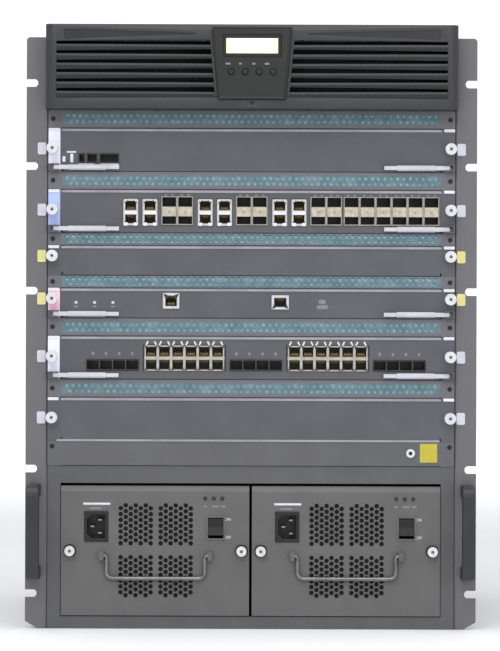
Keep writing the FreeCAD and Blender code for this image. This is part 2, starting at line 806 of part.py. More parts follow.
def louvres():
    """Tapered slots on the right-hand side, taller towards the display panel."""
    low_half, high_half = display_half
    slope = (high_half - low_half) / (display_high - display_low)
    cuts = []
    for row in range(louvre_count):
        middle = louvre_low + row * louvre_pitch
        inner = low_half + slope * (middle - display_low) + louvre_gap
        big, small = louvre_inner_height / 2, louvre_outer_height / 2
        cuts.append(front([(inner - slope * big, middle - big), (louvre_outer_x, middle - small),
                           (louvre_outer_x, middle + small), (inner + slope * big, middle + big)],
                          bezel_back_y - bezel_proud_middle - 5, bezel_back_y - 1))
    return cuts


def fan_bezel():
    """Hollow moulded cover bowed to the front, open at the back, with louvres on both sides."""
    depth, rise = bezel_top_slope
    shell = bowed(0, 0, bezel_back_y, bezel_low, body_height)
    middle_y = bezel_back_y - bezel_proud_middle
    slope = side([(middle_y - 5, body_height - rise - rise * 5 / depth), (middle_y + depth, body_height),
                  (middle_y + depth, body_height + 5), (middle_y - 5, body_height + 5)], -bezel_half, bezel_half)
    shell = shell.cut(slope)
    inside = bowed(bezel_wall, bezel_wall, bezel_back_y, bezel_low + bezel_wall, body_height - bezel_wall)
    inner_slope = slope.copy()
    inner_slope.translate(Vector(0, bezel_wall, -bezel_wall))
    shell = shell.cut(inside.cut(inner_slope))
    seat_y = middle_y + display_seat
    seat = front(display_sides(clear), middle_y - 5, seat_y)
    recess = front([(name_recess_x[0], name_recess_z - name_recess_height[0] / 2),
                    (name_recess_x[1], name_recess_z - name_recess_height[1] / 2),
                    (name_recess_x[1], name_recess_z + name_recess_height[1] / 2),
                    (name_recess_x[0], name_recess_z + name_recess_height[0] / 2)],
                   middle_y - 5, bezel_back_y)
    skin = bowed(name_recess_depth, name_recess_depth, bezel_back_y, bezel_low, body_height)
    recess = recess.cut(skin)
    cuts = pair(recess) + [seat]
    for slot_cut in louvres():
        cuts += pair(slot_cut)
    groove = block((-louvre_outer_x, louvre_outer_x), (middle_y - 5, bezel_back_y),
                   (bezel_groove_z - bezel_groove / 2, bezel_groove_z + bezel_groove / 2))
    cuts.append(groove.cut(skin))
    cuts.append(rod(latch_radius, Vector(0, middle_y - 1, latch_z), Vector(0, 1, 0), latch_depth + 1))
    return shell.cut(Part.makeCompound(cuts))


def display_panel():
    """Trapezoid plate with a raised rim, a screen recess and holes for the four buttons."""
    back = bezel_back_y - bezel_proud_middle + display_seat
    face = back - display_thick
    plate = front(display_sides(0), face, back)
    field = front(display_sides(-display_rim), face - 1, face + display_rim_height)
    half_x, half_z = screen_recess[0] / 2, screen_recess[1] / 2
    recess = block((-half_x, half_x), (face - 1, face + screen_recess_depth), (screen_z - half_z, screen_z + half_z))
    holes = [bored(button_radius + clear, Vector(x, face - 1, button_z), Vector(0, 1, 0), display_thick + 2)
             for x in button_x]
    return plate.cut(Part.makeCompound([field, recess] + holes))


def display_glass():
    """Window plate lying in the screen recess."""
    floor = bezel_back_y - bezel_proud_middle + display_seat - display_thick + screen_recess_depth
    half_x, half_z = screen_size[0] / 2, screen_size[1] / 2
    return block((-half_x, half_x), (floor - glass_thick, floor), (screen_z - half_z, screen_z + half_z))


def menu_button(x):
    """Round push button, standing proud of the display panel."""
    face = bezel_back_y - bezel_proud_middle + display_seat - display_thick + display_rim_height
    back = bezel_back_y - bezel_proud_middle + display_seat - button_travel - clear
    start = Vector(x, face - button_proud, button_z)
    return rod(button_radius, start, Vector(0, 1, 0), back - start.y)


# ---------------------------------------------------------------- cards


def jack_shape(x, low, key_up):
    """Outline of a modular jack's mouth, its key step above or below."""
    half, shoulder = jack_width / 2, jack_shoulder / 2
    flat, tip = (low, low + jack_height) if key_up else (low + jack_height, low)
    step = tip - jack_key if key_up else tip + jack_key
    return [(x - half, flat), (x + half, flat), (x + half, step), (x + shoulder, tip), (x - shoulder, tip),
            (x - half, step)]


def socket_block(x_range, low, z_range, mouths, depth):
    """Connector housing: a nose through the faceplate, a body behind it and its mouths.

    low is the top of the board; z_range is what shows at the front; mouths are outlines.
    """
    nose = block(x_range, (plate_y - port_proud, plate_back_y + clear), z_range)
    rear = block(x_range, (plate_back_y + clear, plate_y + depth + port_back), (low, z_range[1]))
    cuts = [front(mouth, plate_y - port_proud - 1, plate_y + depth) for mouth in mouths]
    return join([nose, rear]).cut(Part.makeCompound(cuts))


def raised(base, z_range):
    """A range of heights above the faceplate's lower edge, as levels."""
    return (base + z_range[0], base + z_range[1])


def management_ports(base):
    """Management card: a small-form socket, a serial socket and a wide socket near the left end."""
    rim = management_rim
    low, high = raised(base, management_z)
    housings = []
    for x, width in zip(management_x, management_widths):
        mouth = rectangle((x - width / 2, x + width / 2), (low, high))
        housings.append(((x - width / 2 - rim, x + width / 2 + rim), (low - rim, high + rim), [mouth], port_depth))
    return housings


def stacked_ports(base):
    """Line card: pairs of stacked jacks and stacked pluggable cages, then a row of six cages."""
    housings = []
    half = stacked_jack_half
    for group in range(stacked_groups):
        first = stacked_first_x + group * stacked_group_step
        for i in range(2):
            x = first + i * stacked_jack_step
            mouths = [jack_shape(x, base + rise, key_up) for rise, key_up in zip(stacked_mouth_z, (False, True))]
            housings.append(((x - half, x + half), raised(base, stacked_jack_z), mouths, port_depth))
        housings.append(cage_stack(base, first + 2 * stacked_jack_step, 2))
    housings.append(cage_stack(base, cage_row_x, cage_row_count))
    return housings


def cage_stack(base, first, count):
    """Two rows of pluggable-module cages in one housing."""
    half = cage_mouth_half
    mouths = []
    for i in range(count):
        x = first + i * cage_step
        mouths += [rectangle((x - half, x + half), raised(base, row)) for row in cage_rows_z]
    span = (first - cage_step / 2, first + (count - 0.5) * cage_step)
    return (span, raised(base, cage_stack_z), mouths, cage_depth)


def controller_ports(base):
    """Short card: one jack each way up."""
    housings = []
    for i, key_up in enumerate((True, False)):
        x, half = controller_x[i], controller_half[i]
        mouth = jack_shape(x, base + controller_mouth_z[i], key_up)
        housings.append(((x - half, x + half), raised(base, controller_z[i]), [mouth], port_depth))
    return housings


def mixed_ports(base):
    """Line card: rows of four cages beside two-by-six blocks of jacks."""
    housings = []
    half = mixed_cage_half
    for group in range(mixed_groups):
        first = mixed_first_x + group * mixed_group_step
        mouths = [rectangle((x - half, x + half), raised(base, mixed_cage_mouth_z))
                  for x in (first + i * mixed_cage_step for i in range(mixed_cage_count))]
        span = (first - mixed_cage_step / 2, first + (mixed_cage_count - 0.5) * mixed_cage_step)
        housings.append((span, raised(base, mixed_cage_z), mouths, cage_depth))
        if group < mixed_groups - 1:
            start = first + mixed_jack_lead
            mouths = []
            for i in range(mixed_jack_count):
                x = start + i * mixed_jack_step
                mouths += [jack_shape(x, base + rise, key_up) for rise, key_up in zip(mixed_mouth_z, (False, True))]
            span = (start - mixed_jack_margin, start + (mixed_jack_count - 1) * mixed_jack_step + mixed_jack_margin)
            housings.append((span, raised(base, mixed_jack_z), mouths, port_depth))
    return housings


card_ports = {1: management_ports, 2: stacked_ports, 4: controller_ports, 5: mixed_ports}


def folded_panel(slot):
    """Faceplate blank: flat ends and a middle folded back along both long edges."""
    place = slots[slot]
    low, high = place["plate"], place["plate"] + plate_heights[place["kind"]]
    inner = panel_sheet
    fold = [(plate_y, low), (plate_back_y + fold_depth, low), (plate_back_y + fold_depth, low + inner),
            (plate_back_y, low + inner), (plate_back_y, high - inner), (plate_back_y + fold_depth, high - inner),
            (plate_back_y + fold_depth, high), (plate_y, high)]
    middle = side(fold, -fold_half, fold_half)
    bends = edges_along(middle, Vector(1, 0, 0), lambda c: abs(c.y - plate_y) < 0.01)
    middle = middle.makeChamfer(panel_fold_edge, bends)
    end = block((fold_half, panel_half), (plate_y, plate_back_y), (low, high))
    reliefs = [block((fold_half, fold_half + relief_width), (plate_y - 1, plate_back_y + 1), z_range)
               for z_range in ((low - 1, low + relief_height), (high - relief_height, high + 1))]
    end = end.cut(Part.makeCompound(reliefs))
    return join([middle] + pair(end))


def thumbscrews(slot):
    """Captive screws at both ends of a faceplate: a short neck and a round head."""
    place = slots[slot]
    level = place["plate"] + screw_rise[place["kind"]]
    neck = rod(screw_neck_radius, Vector(screw_x, plate_y - screw_neck, level), Vector(0, 1, 0), screw_neck)
    head = rod(screw_radius, Vector(screw_x, plate_y - screw_reach, level), Vector(0, 1, 0),
                     screw_reach - screw_neck)
    return pair(neck) + pair(head)


def clevis(slot):
    """Bracket of two ears and a web, and the pivot pin that carries the right-hand lever."""
    middle = lever_z(slot)
    gap = lever_root[1] / 2 + clear
    depth = (plate_y - clevis_reach, plate_y)
    ears = [block(clevis_x, depth, (middle + low, middle + low + clevis_plate))
            for low in (gap, -gap - clevis_plate)]
    web = block((toe_window[1], clevis_x[1]), depth, (middle - gap, middle + gap))
    pin = rod(pivot_radius, Vector(lever_pivot_x, plate_y - lever_pivot_out, middle - gap),
                    Vector(0, 0, 1), 2 * gap)
    return ears + [web, pin]


def card_faceplate(slot):
    """Folded faceplate with port cut-outs, toe windows, lever clevises and thumbscrews."""
    base = slots[slot]["plate"]
    panel = folded_panel(slot)
    gap = port_gap
    cuts = [block((span[0] - gap, span[1] + gap), (plate_y - 1, plate_back_y + 0.01), (z[0] - gap, z[1] + gap))
            for span, z, mouths, depth in card_ports[slot](base)]
    middle = lever_z(slot)
    half = toe_height / 2 + 2 * clear
    cuts += pair(block(toe_window, (plate_y - 1, plate_back_y + 1), (middle - half, middle + half)))
    panel = panel.cut(Part.makeCompound(cuts))
    extras = thumbscrews(slot)
    for piece in clevis(slot):
        extras += pair(piece)
    return join([panel] + extras)


def card_board(slot):
    """Circuit board with its front connectors and its rear plug."""
    base = slots[slot]["plate"]
    low = board_low(slot)
    top = low + board_thick
    neck_back = plate_back_y + board_neck_depth
    rear = backplane_y - socket_depth - clear
    pcb = join([block((-board_neck_half, board_neck_half), (plate_back_y, neck_back), (low, top)),
                block((-board_half, board_half), (neck_back, rear), (low, top))])
    pieces = [pcb]
    for span, z_range, mouths, depth in card_ports[slot](base):
        pieces.append(socket_block(span, top, z_range, mouths, depth))
    plug_low = socket_level(slot)
    half = plug_width / 2
    body = block((-half, half), (rear - plug_lap, rear), (top, plug_low + plug_height))
    tongue = block((-half, half), (rear, rear + plug_reach), (plug_low, plug_low + plug_height))
    return join(pieces + [body, tongue])


def lever(slot):
    """Right-hand ejector lever: root on the pivot, bar with a thicker sleeve, and an ejecting toe."""
    middle = lever_z(slot)
    axis_y = plate_y - lever_pivot_out

    def bar(x_range, size):
        depth, height = size
        return block(x_range, (axis_y - depth / 2, axis_y + depth / 2), (middle - height / 2, middle + height / 2))

    root = bar((sleeve_x[1], lever_pivot_x), lever_root)
    eye = rod(lever_root[0] / 2, Vector(lever_pivot_x, axis_y, middle - lever_root[1] / 2),
                    Vector(0, 0, 1), lever_root[1])
    tip = bar((lever_tip_x, sleeve_x[0]), lever_bar)
    grip = bar(sleeve_x, sleeve)
    grip = grip.makeChamfer(sleeve_corner, edges_along(grip, Vector(1, 0, 0), lambda c: True))
    toe = block((lever_pivot_x - toe_width / 2, lever_pivot_x + toe_width / 2), (axis_y, axis_y + toe_reach),
                (middle - toe_height / 2, middle + toe_height / 2))
    bore = bored(pivot_radius + fit_clear, Vector(lever_pivot_x, axis_y, middle - 5), Vector(0, 0, 1), 10)
    return join([root, eye, tip, grip, toe]).cut(bore)


def blank_panel(slot):
    """Filler plate with its thumbscrews, for a slot that holds no card."""
    return join([folded_panel(slot)] + thumbscrews(slot))


# ---------------------------------------------------------------- power supplies
# Each function builds a supply about its own middle plane; the supplies are placed at the end.


def supply_case():
    """Sheet box open to the front, with exhaust slots and the plug at the back."""
    half = supply_half - panel_sheet
    low, high = supply_low, supply_high - supply_inset
    front_y = plate_back_y + supply_band[1]
    back = plate_back_y + supply_depth
    wall = thin_sheet
    shell = block((-half, half), (front_y, back), (low, high))
    hollow = block((-half + wall, half - wall), (front_y - 1, back - wall), (low + wall, high - wall))
    exhaust = []
    for row in range(exhaust_rows):
        level = exhaust_low + row * exhaust_step
        exhaust.append(block((-case_exhaust_half, case_exhaust_half), (back - wall - 1, back + 1),
                             (level, level + exhaust_height)))
    tongue = block((-plug_width / 2, plug_width / 2), (back - wall, backplane_y - socket_depth + plug_reach),
                   (supply_plug_z, supply_plug_z + plug_height))
    return join([shell.cut(Part.makeCompound([hollow] + exhaust)), tongue])


def perforation():
    """Hole outlines of the four blocks: columns staggered by half a pitch."""
    across, up = hole_pitch
    holes = []
    for side_sign in (-1, 1):
        for level, stagger in zip(block_low, (-1, 1)):
            for column in range(hole_columns):
                x = middle_shift + side_sign * block_spread + (column - (hole_columns - 1) / 2) * across
                shift = stagger * (column % 2) * up / 2
                for row in range(hole_rows):
                    holes.append(polygon(x, level + shift + row * up, hole_radius, hole_sides, 0))
    return holes


def supply_front():
    """Perforated front with a sloped top band, returned sides, screws and handle lugs."""
    rise, set_back = supply_band
    flat_top = supply_high - rise
    half = supply_half
    inlet = rectangle((inlet_x - inlet_size[0] / 2, inlet_x + inlet_size[0] / 2),
                      (inlet_z - inlet_size[1] / 2, inlet_z + inlet_size[1] / 2))
    rocker_hole = rectangle((rocker_x - rocker_size[0] / 2, rocker_x + rocker_size[0] / 2),
                            (rocker_z - rocker_size[1] / 2, rocker_z + rocker_size[1] / 2))
    flat = pierced(rectangle((-half, half), (supply_low, flat_top)), [inlet, rocker_hole] + perforation(),
                   plate_y, plate_back_y)
    band = side([(plate_y, flat_top), (plate_y + set_back, supply_high), (plate_back_y + set_back, supply_high),
                 (plate_back_y, flat_top)], -half, half)
    extras = [band]
    fold = block((half - panel_sheet, half), (plate_back_y, plate_back_y + supply_return), (supply_low, flat_top))
    extras += pair(fold)
    frame = rocker_bezel
    outer = rectangle((rocker_x - rocker_size[0] / 2 - frame, rocker_x + rocker_size[0] / 2 + frame),
                      (rocker_z - rocker_size[1] / 2 - frame, rocker_z + rocker_size[1] / 2 + frame))
    extras.append(pierced(outer, [rocker_hole], plate_y - rocker_bezel_proud, plate_y))
    extras.append(rocker_housing_ring(rocker_hole))
    for x in supply_screw_x:
        extras.append(rod(supply_screw_radius, Vector(x, plate_y - supply_screw_reach, supply_screw_z),
                                Vector(0, 1, 0), supply_screw_reach))
    for side_sign in (-1, 1):
        extras.append(handle_lug(side_sign))
    return join([flat] + extras)


def rocker_housing_ring(mouth):
    """Walls behind the plate that carry the rocker's pivots."""
    wall, depth = rocker_housing
    half_x, half_z = rocker_size[0] / 2 + wall, rocker_size[1] / 2 + wall
    outer = rectangle((rocker_x - half_x, rocker_x + half_x), (rocker_z - half_z, rocker_z + half_z))
    ring = pierced(outer, [mouth], plate_back_y, plate_back_y + depth)
    bore = bored(rocker_pin_radius + fit_clear, Vector(rocker_x - half_x - 1, plate_back_y + rocker_pivot_depth, rocker_z),
                 Vector(1, 0, 0), 2 * half_x + 2)
    return ring.cut(bore)


def handle_axis_y():
    return plate_y - handle_radius - handle_standoff


def handle_lug(side_sign):
    """Bored lug beside one leg of the drop handle."""
    inner = handle_half + handle_radius + handle_standoff
    x0, x1 = sorted(middle_shift + side_sign * d for d in (inner, inner + lug_width))
    axis_y = handle_axis_y()
    half = lug_height / 2
    lug = block((x0, x1), (axis_y - half, plate_y), (handle_pivot_z - half, handle_pivot_z + half))
    bore = bored(handle_radius + fit_clear, Vector(x0 - 1, axis_y, handle_pivot_z), Vector(1, 0, 0), lug_width + 2)
    return lug.cut(bore)


def supply_handle():
    """Drop handle bent from round wire, its ends turned out into the lugs."""
    end = handle_half + handle_radius + handle_standoff + lug_width
    low = handle_pivot_z - handle_drop
    small = handle_radius + handle_standoff
    inner = handle_half - handle_bend
    half_path = [(end, handle_pivot_z)]
    half_path += bend(handle_half + small, handle_pivot_z - small, small, 90.0, 180.0)
    half_path += bend(inner, low + handle_bend, handle_bend, 0.0, -90.0)
    across = half_path + [(-x, z) for x, z in reversed(half_path)]
    y = handle_axis_y()
    path = Part.makePolygon([Vector(middle_shift + x, y, z) for x, z in across])
    ring = [path.Vertexes[0].Point + Vector(0, handle_radius * math.cos(a), handle_radius * math.sin(a))
            for a in (2 * math.pi * i / wire_sides for i in range(wire_sides))]
    return path.makePipeShell([outline(ring)], True, False, 1)


def power_inlet():
    """Flanged inlet body with a chamfered cavity and three blades."""
    half_x, half_z = inlet_size[0] / 2 - port_gap, inlet_size[1] / 2 - port_gap
    face = plate_y - inlet_flange
    body = block((inlet_x - half_x, inlet_x + half_x), (face, plate_y + inlet_depth), (inlet_z - half_z, inlet_z + half_z))
    cx, cz = inlet_cavity[0] / 2, inlet_cavity[1] / 2
    cut = inlet_chamfer
    mouth = [(inlet_x - cx + cut, inlet_z - cz), (inlet_x + cx, inlet_z - cz), (inlet_x + cx, inlet_z + cz),
             (inlet_x - cx + cut, inlet_z + cz), (inlet_x - cx, inlet_z + cz - cut), (inlet_x - cx, inlet_z - cz + cut)]
    floor = plate_y + inlet_depth - inlet_floor
    cavity = front(mouth, face - 1, floor)
    long_half, thick_half = pin_size[1] / 2, pin_size[0] / 2
    pins = []
    for dx, dz in pin_places:
        x, z = inlet_x + dx, inlet_z + dz
        pins.append(block((x - long_half, x + long_half), (floor - pin_length, floor), (z - thick_half, z + thick_half)))
    return join([body.cut(cavity)] + pins)


def rocker():
    """Dished rocker key on two pivots, at rest with its upper half pressed in."""
    half_x = rocker_size[0] / 2 - clear
    half_z = rocker_size[1] / 2 - rocker_inset
    out = rocker_pivot_depth + rocker_reach
    back, back_half = rocker_back
    profile = [(-out, -half_z), (-out + rocker_dish, 0.0), (-out, half_z), (0.0, half_z - rocker_taper),
               (back, back_half), (back, -back_half), (0.0, -half_z + rocker_taper)]
    pivot_y = plate_back_y + rocker_pivot_depth
    key = side([(pivot_y + y, rocker_z + z) for y, z in profile], rocker_x - half_x, rocker_x + half_x)
    key.rotate(Vector(rocker_x, pivot_y, rocker_z), Vector(1, 0, 0), -rocker_tilt)
    reach = rocker_size[0] / 2 + rocker_housing[0] - clear
    return join([key, rod(rocker_pin_radius, Vector(rocker_x - reach, pivot_y, rocker_z), Vector(1, 0, 0), 2 * reach)])


# ---------------------------------------------------------------- assembly

os.makedirs("parts", exist_ok=True)

save("chassis_body", chassis_body())
save("top_cover", top_cover())
save("rear_panel", rear_panel())
save("fan_shelf", fan_shelf())
save("psu_shelf", psu_shelf())
save("psu_bay_frame", psu_bay_frame())
save("backplane", backplane())
for name, build in (("rack_ear", rack_ear), ("carry_handle", carry_handle), ("guide_rack", guide_rack)):
    right = build()
    save(name + "_right", right)
    save(name + "_left", mirrored(right))

for slot in sorted(slots):
    save("vent_strip_%d" % slot, vent_strip(slot))
save("service_strip", service_strip())
save("ground_jack", ground_jack())
save("panel_screws", panel_screws())

for slot in card_slots:
    save("card_%d_faceplate" % slot, card_faceplate(slot))
    save("card_%d_board" % slot, card_board(slot))
    right = lever(slot)
    save("card_%d_lever_right" % slot, right)
    save("card_%d_lever_left" % slot, mirrored(right))
for slot in blank_slots:
    save("blank_panel_%d" % slot, blank_panel(slot))

save("fan_tray", fan_tray())
for name, x in (("left", -fan_x), ("right", fan_x)):
    save("fan_rotor_" + name, fan_rotor(x))
save("fan_bezel", fan_bezel())
save("display_panel", display_panel())
save("display_glass", display_glass())
for number, x in enumerate(button_x, 1):
    save("menu_button_%d" % number, menu_button(x))

supply_parts = {"case": supply_case(), "front": supply_front(), "inlet": power_inlet(), "rocker": rocker(),
                "handle": supply_handle()}
for name, x in (("left", -supply_middle), ("right", supply_middle)):
    for piece, shape in supply_parts.items():
        placed = shape.copy()
        placed.translate(Vector(x, 0, 0))
        save("psu_%s_%s" % (name, piece), placed)
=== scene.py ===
# %% [markdown]
# # Dressing a modular switch chassis
#
# The object is a tall rack chassis for network cards: grey powder-coated steel, a card cage with
# six slots, a louvred fan cover on top and two power supplies at the foot. The solid model holds
# every main shape. This notebook gives each surface a finish and adds what is too fine for the
# solids: perforations, shields round the sockets, knurls, labels, wire.
#
# The first step loads the solid model as a fixed frame. Everything is in metres, with X to the
# right, Y to the back and Z up, so each added piece takes its place from the boxes of the nodes.

# %% Load the frame
import math

import bpy
from mathutils import Matrix, Vector


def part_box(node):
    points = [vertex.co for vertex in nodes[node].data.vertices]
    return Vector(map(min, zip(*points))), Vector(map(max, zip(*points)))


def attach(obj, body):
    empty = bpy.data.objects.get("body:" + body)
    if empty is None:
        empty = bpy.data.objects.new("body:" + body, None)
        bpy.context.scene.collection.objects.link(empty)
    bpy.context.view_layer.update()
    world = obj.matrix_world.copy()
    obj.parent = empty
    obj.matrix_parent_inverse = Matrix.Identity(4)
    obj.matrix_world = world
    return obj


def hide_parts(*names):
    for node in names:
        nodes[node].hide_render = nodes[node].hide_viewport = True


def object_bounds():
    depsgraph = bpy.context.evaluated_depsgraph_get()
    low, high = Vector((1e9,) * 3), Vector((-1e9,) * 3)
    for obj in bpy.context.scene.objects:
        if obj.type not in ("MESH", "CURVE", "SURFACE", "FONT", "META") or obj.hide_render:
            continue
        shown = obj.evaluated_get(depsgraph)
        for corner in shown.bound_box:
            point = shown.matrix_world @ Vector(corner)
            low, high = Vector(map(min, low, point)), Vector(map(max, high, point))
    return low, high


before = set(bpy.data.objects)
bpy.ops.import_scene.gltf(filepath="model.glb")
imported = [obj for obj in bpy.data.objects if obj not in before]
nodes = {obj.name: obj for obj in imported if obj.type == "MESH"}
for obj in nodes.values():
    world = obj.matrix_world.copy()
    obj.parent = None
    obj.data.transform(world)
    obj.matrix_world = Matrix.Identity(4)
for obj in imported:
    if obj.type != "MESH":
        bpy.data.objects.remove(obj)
cad_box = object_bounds()
print("nodes", len(nodes), "box", [round(v, 4) for corner in cad_box for v in corner])

# %% [markdown]
# ## Measures
# Small sizes are easier to think of in millimetres, so one function turns them into metres. Three
# planes recur on the front: the vent strips, the card plates just ahead of them, and the supplies,
# which share the card plates' plane. The strip's node gives the first and a 0.3 mm step the second.

# %% Planes shared by the front
def mm(value):
    return value / 1000.0


strip_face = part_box("vent_strip_1")[0].y
plate_face = strip_face - mm(0.3)
card_slots = (1, 2, 4, 5)
low_slots = (3, 4)
SIDES = (("left", -1), ("right", 1))
print("strips at", round(strip_face, 4), "plates at", round(plate_face, 4))

# %% [markdown]
# ## Building finishes from nodes
# A finish is a small tree of shader nodes. One function adds any node from its type, its settings
# and what feeds it, and short ones add the few kinds that every finish needs. Colours are written
# as hex, the way paint charts give them, and are turned into linear light for the shader.

# %% Node helpers and colours
def linear(hex_colour):
    parts = [int(hex_colour[i:i + 2], 16) / 255 for i in (0, 2, 4)]
    return (*(c / 12.92 if c <= 0.04045 else ((c + 0.055) / 1.055) ** 2.4 for c in parts), 1.0)


def add(tree, kind, settings=None, links=None):
    node = tree.nodes.new(kind)
    for name, value in (settings or {}).items():
        if name in node.inputs:
            node.inputs[name].default_value = value
        else:
            setattr(node, name, value)
    for name, source in (links or {}).items():
        tree.links.new(source, node.inputs[name])
    return node


def ramp(tree, level, *stops):
    """A colour ramp; each stop is a place from 0 to 1 and a hex colour."""
    node = add(tree, "ShaderNodeValToRGB", links={"Fac": level})
    spots = node.color_ramp.elements
    for i, (place, colour) in enumerate(stops):
        spot = spots[i] if i < 2 else spots.new(place)
        spot.position = place
        spot.color = linear(colour)
    return node.outputs["Color"]


def noise(tree, place, size_mm, detail, roughness=0.5):
    """Noise with features about size_mm across."""
    settings = {"Scale": 1000 / size_mm, "Detail": detail, "Roughness": roughness}
    return add(tree, "ShaderNodeTexNoise", settings, {"Vector": place}).outputs["Fac"]


def maths(tree, operation, *terms):
    """One sum on numbers or on other nodes' outputs."""
    node = add(tree, "ShaderNodeMath", {"operation": operation})
    for socket, term in zip(node.inputs, terms):
        if isinstance(term, float):
            socket.default_value = term
        else:
            tree.links.new(term, socket)
    return node.outputs[0]


def rising(tree, value, start, end):
    """0 up to start, 1 from end on."""
    limits = {"From Min": start, "From Max": end}
    return add(tree, "ShaderNodeMapRange", limits, {"Value": value}).outputs["Result"]


def relief(tree, shader, height, depth_mm, strength=0.6):
    """Let a pattern catch the light as if it stood depth_mm proud."""
    bump = add(tree, "ShaderNodeBump", {"Strength": strength, "Distance": mm(depth_mm)},
               {"Height": height})
    tree.links.new(bump.outputs["Normal"], shader.inputs["Normal"])


def new_finish(name, metallic, roughness):
    """An empty material with its surface shader, and the object's own coordinates."""
    material = bpy.data.materials.new(name)
    material.use_nodes = True
    tree = material.node_tree
    tree.nodes.clear()
    shader = add(tree, "ShaderNodeBsdfPrincipled", {"Metallic": metallic, "Roughness": roughness})
    add(tree, "ShaderNodeOutputMaterial", links={"Surface": shader.outputs["BSDF"]})
    place = add(tree, "ShaderNodeTexCoord").outputs["Object"]
    return material, tree, shader, place


# %% [markdown]
# ## A coat with grain and slow mottling
# Powder coat, moulded plastic and plated steel share one plan. A slow noise shifts the colour over
# some centimetres, as no sprayed or rolled surface is quite even. A finer one breaks up the gloss,
# and the finest is the grain that catches the light. Only the sizes, in mm, and strengths differ.

# %% One plan for coated, moulded and plated surfaces
gloss_mm, gloss_spread = 9.0, 0.06


def coated(name, light, dark, metallic, roughness, grain_mm, relief_mm, mottle_mm=45.0):
    material, tree, shader, place = new_finish(name, metallic, roughness)
    colour = ramp(tree, noise(tree, place, mottle_mm, 4.0, 0.6), (0.36, dark), (0.64, light))
    rough = add(tree, "ShaderNodeMapRange",
                {"To Min": roughness - gloss_spread, "To Max": roughness + gloss_spread},
                {"Value": noise(tree, place, gloss_mm, 3.0)})
    tree.links.new(colour, shader.inputs["Base Color"])
    tree.links.new(rough.outputs["Result"], shader.inputs["Roughness"])
    relief(tree, shader, noise(tree, place, grain_mm, 2.0), relief_mm)
    print("finish", name)
    return material


# %% Sheet-metal finishes
# Powder coat: paint melted onto steel, slightly orange-peeled, so highlights are broad and soft.
# The peel is about 1 mm across; it is drawn at 1.6 mm so that it shows at all. The five greys let
# the case, cards, strips, supplies and bay read as separate sheets.
case_paint = coated("grey_powder_coat", "656366", "626165", 0.0, 0.48, 1.6, 0.05)
panel_paint = coated("dark_grey_powder_coat", "55565c", "4f5055", 0.0, 0.42, 1.6, 0.04)
strip_paint = coated("grey_strip_powder_coat", "5c5c5f", "565659", 0.0, 0.45, 1.6, 0.04)
supply_paint = coated("warm_grey_powder_coat", "605f5f", "5a5958", 0.0, 0.46, 1.6, 0.05)
bay_paint = coated("bay_grey_powder_coat", "58585a", "525254", 0.0, 0.46, 1.6, 0.05)

# %% Plated metals
# Galvanised sheet shows a faint patchwork of zinc crystals a centimetre or two across.
zinc = coated("galvanised_sheet", "b5b9bd", "9da2a7", 0.85, 0.38, 3.0, 0.03, 16.0)
# Nickel: pale and satin on turned screws, duller and brownish on the drawn wire.
screw_nickel = coated("satin_nickel_screw", "dededf", "cfcfd2", 0.3, 0.36, 1.2, 0.02, 10.0)
handle_nickel = coated("dull_nickel_wire", "88857f", "716e69", 0.85, 0.34, 1.2, 0.02, 10.0)
# Shields and cages in front of the sockets: pale tin, warm tin, bright tin, ivory, dull steel.
tin = coated("tin_plated_shield", "cecdc9", "bbbab4", 0.35, 0.34, 1.2, 0.02, 8.0)
cage_tin = coated("warm_tin_cage", "a6a194", "90897a", 0.3, 0.40, 1.5, 0.03, 7.0)
bright_tin = coated("bright_tin_shield", "d6d6d8", "c4c4c8", 0.3, 0.36, 1.2, 0.02, 8.0)
ivory = coated("ivory_shield", "b6b4aa", "a19f95", 0.15, 0.42, 1.2, 0.02, 9.0)
cage_steel = coated("dull_cage_steel", "4a4743", "3c3936", 0.5, 0.45, 1.2, 0.02, 7.0)
# The cream bands between stacked cages stand out against their tin.
cream_band = coated("cream_moulded_band", "c2bcaa", "aaa08c", 0.0, 0.40, 1.4, 0.04, 5.0)
# The spring gasket along a plate's upper edge is one thin pale line that paints the highlight on
# the fold.
gasket_painted_highlight = coated("tin_gasket_painted_highlight", "a1a1a6", "909095", 0.3, 0.38, 1.2, 0.02, 30.0)
# Small contacts glint: gold in the sockets, nickelled brass in the mains inlets.
gold = coated("gold_contact", "876e39", "775e2b", 1.0, 0.25, 0.8, 0.01, 4.0)
brass = coated("nickelled_brass", "9d9d96", "83837c", 0.9, 0.30, 1.0, 0.02, 6.0)
# Black oxide lets the small screws sink into the paint; round the supply screws it paints a
# shadow ring.
black_steel = coated("black_oxide_screw", "2c2a2b", "201f20", 0.6, 0.45, 0.8, 0.02, 4.0)

# %% Mouldings
# Textured ABS, sparked in the mould: no gloss, and a fine even grain of about 0.5 mm, drawn at 1.2.
# The blades' lips are smoother and painted paler as a highlight, their leaning parts coarser and
# painted darker as shade.
bezel_plastic = coated("charcoal_textured_abs", "313134", "2d2e30", 0.0, 0.50, 1.2, 0.06, 60.0)
display_plastic = coated("black_satin_abs", "1c1d1c", "181918", 0.0, 0.42, 1.2, 0.04, 60.0)
lip_painted_highlight_plastic = coated("lip_painted_highlight_abs", "3d3e42", "37383c", 0.0, 0.40, 1.2, 0.03, 60.0)
lean_painted_shade_plastic = coated("lean_painted_shade_abs", "1f2022", "1b1b1d", 0.0, 0.62, 1.2, 0.08, 60.0)
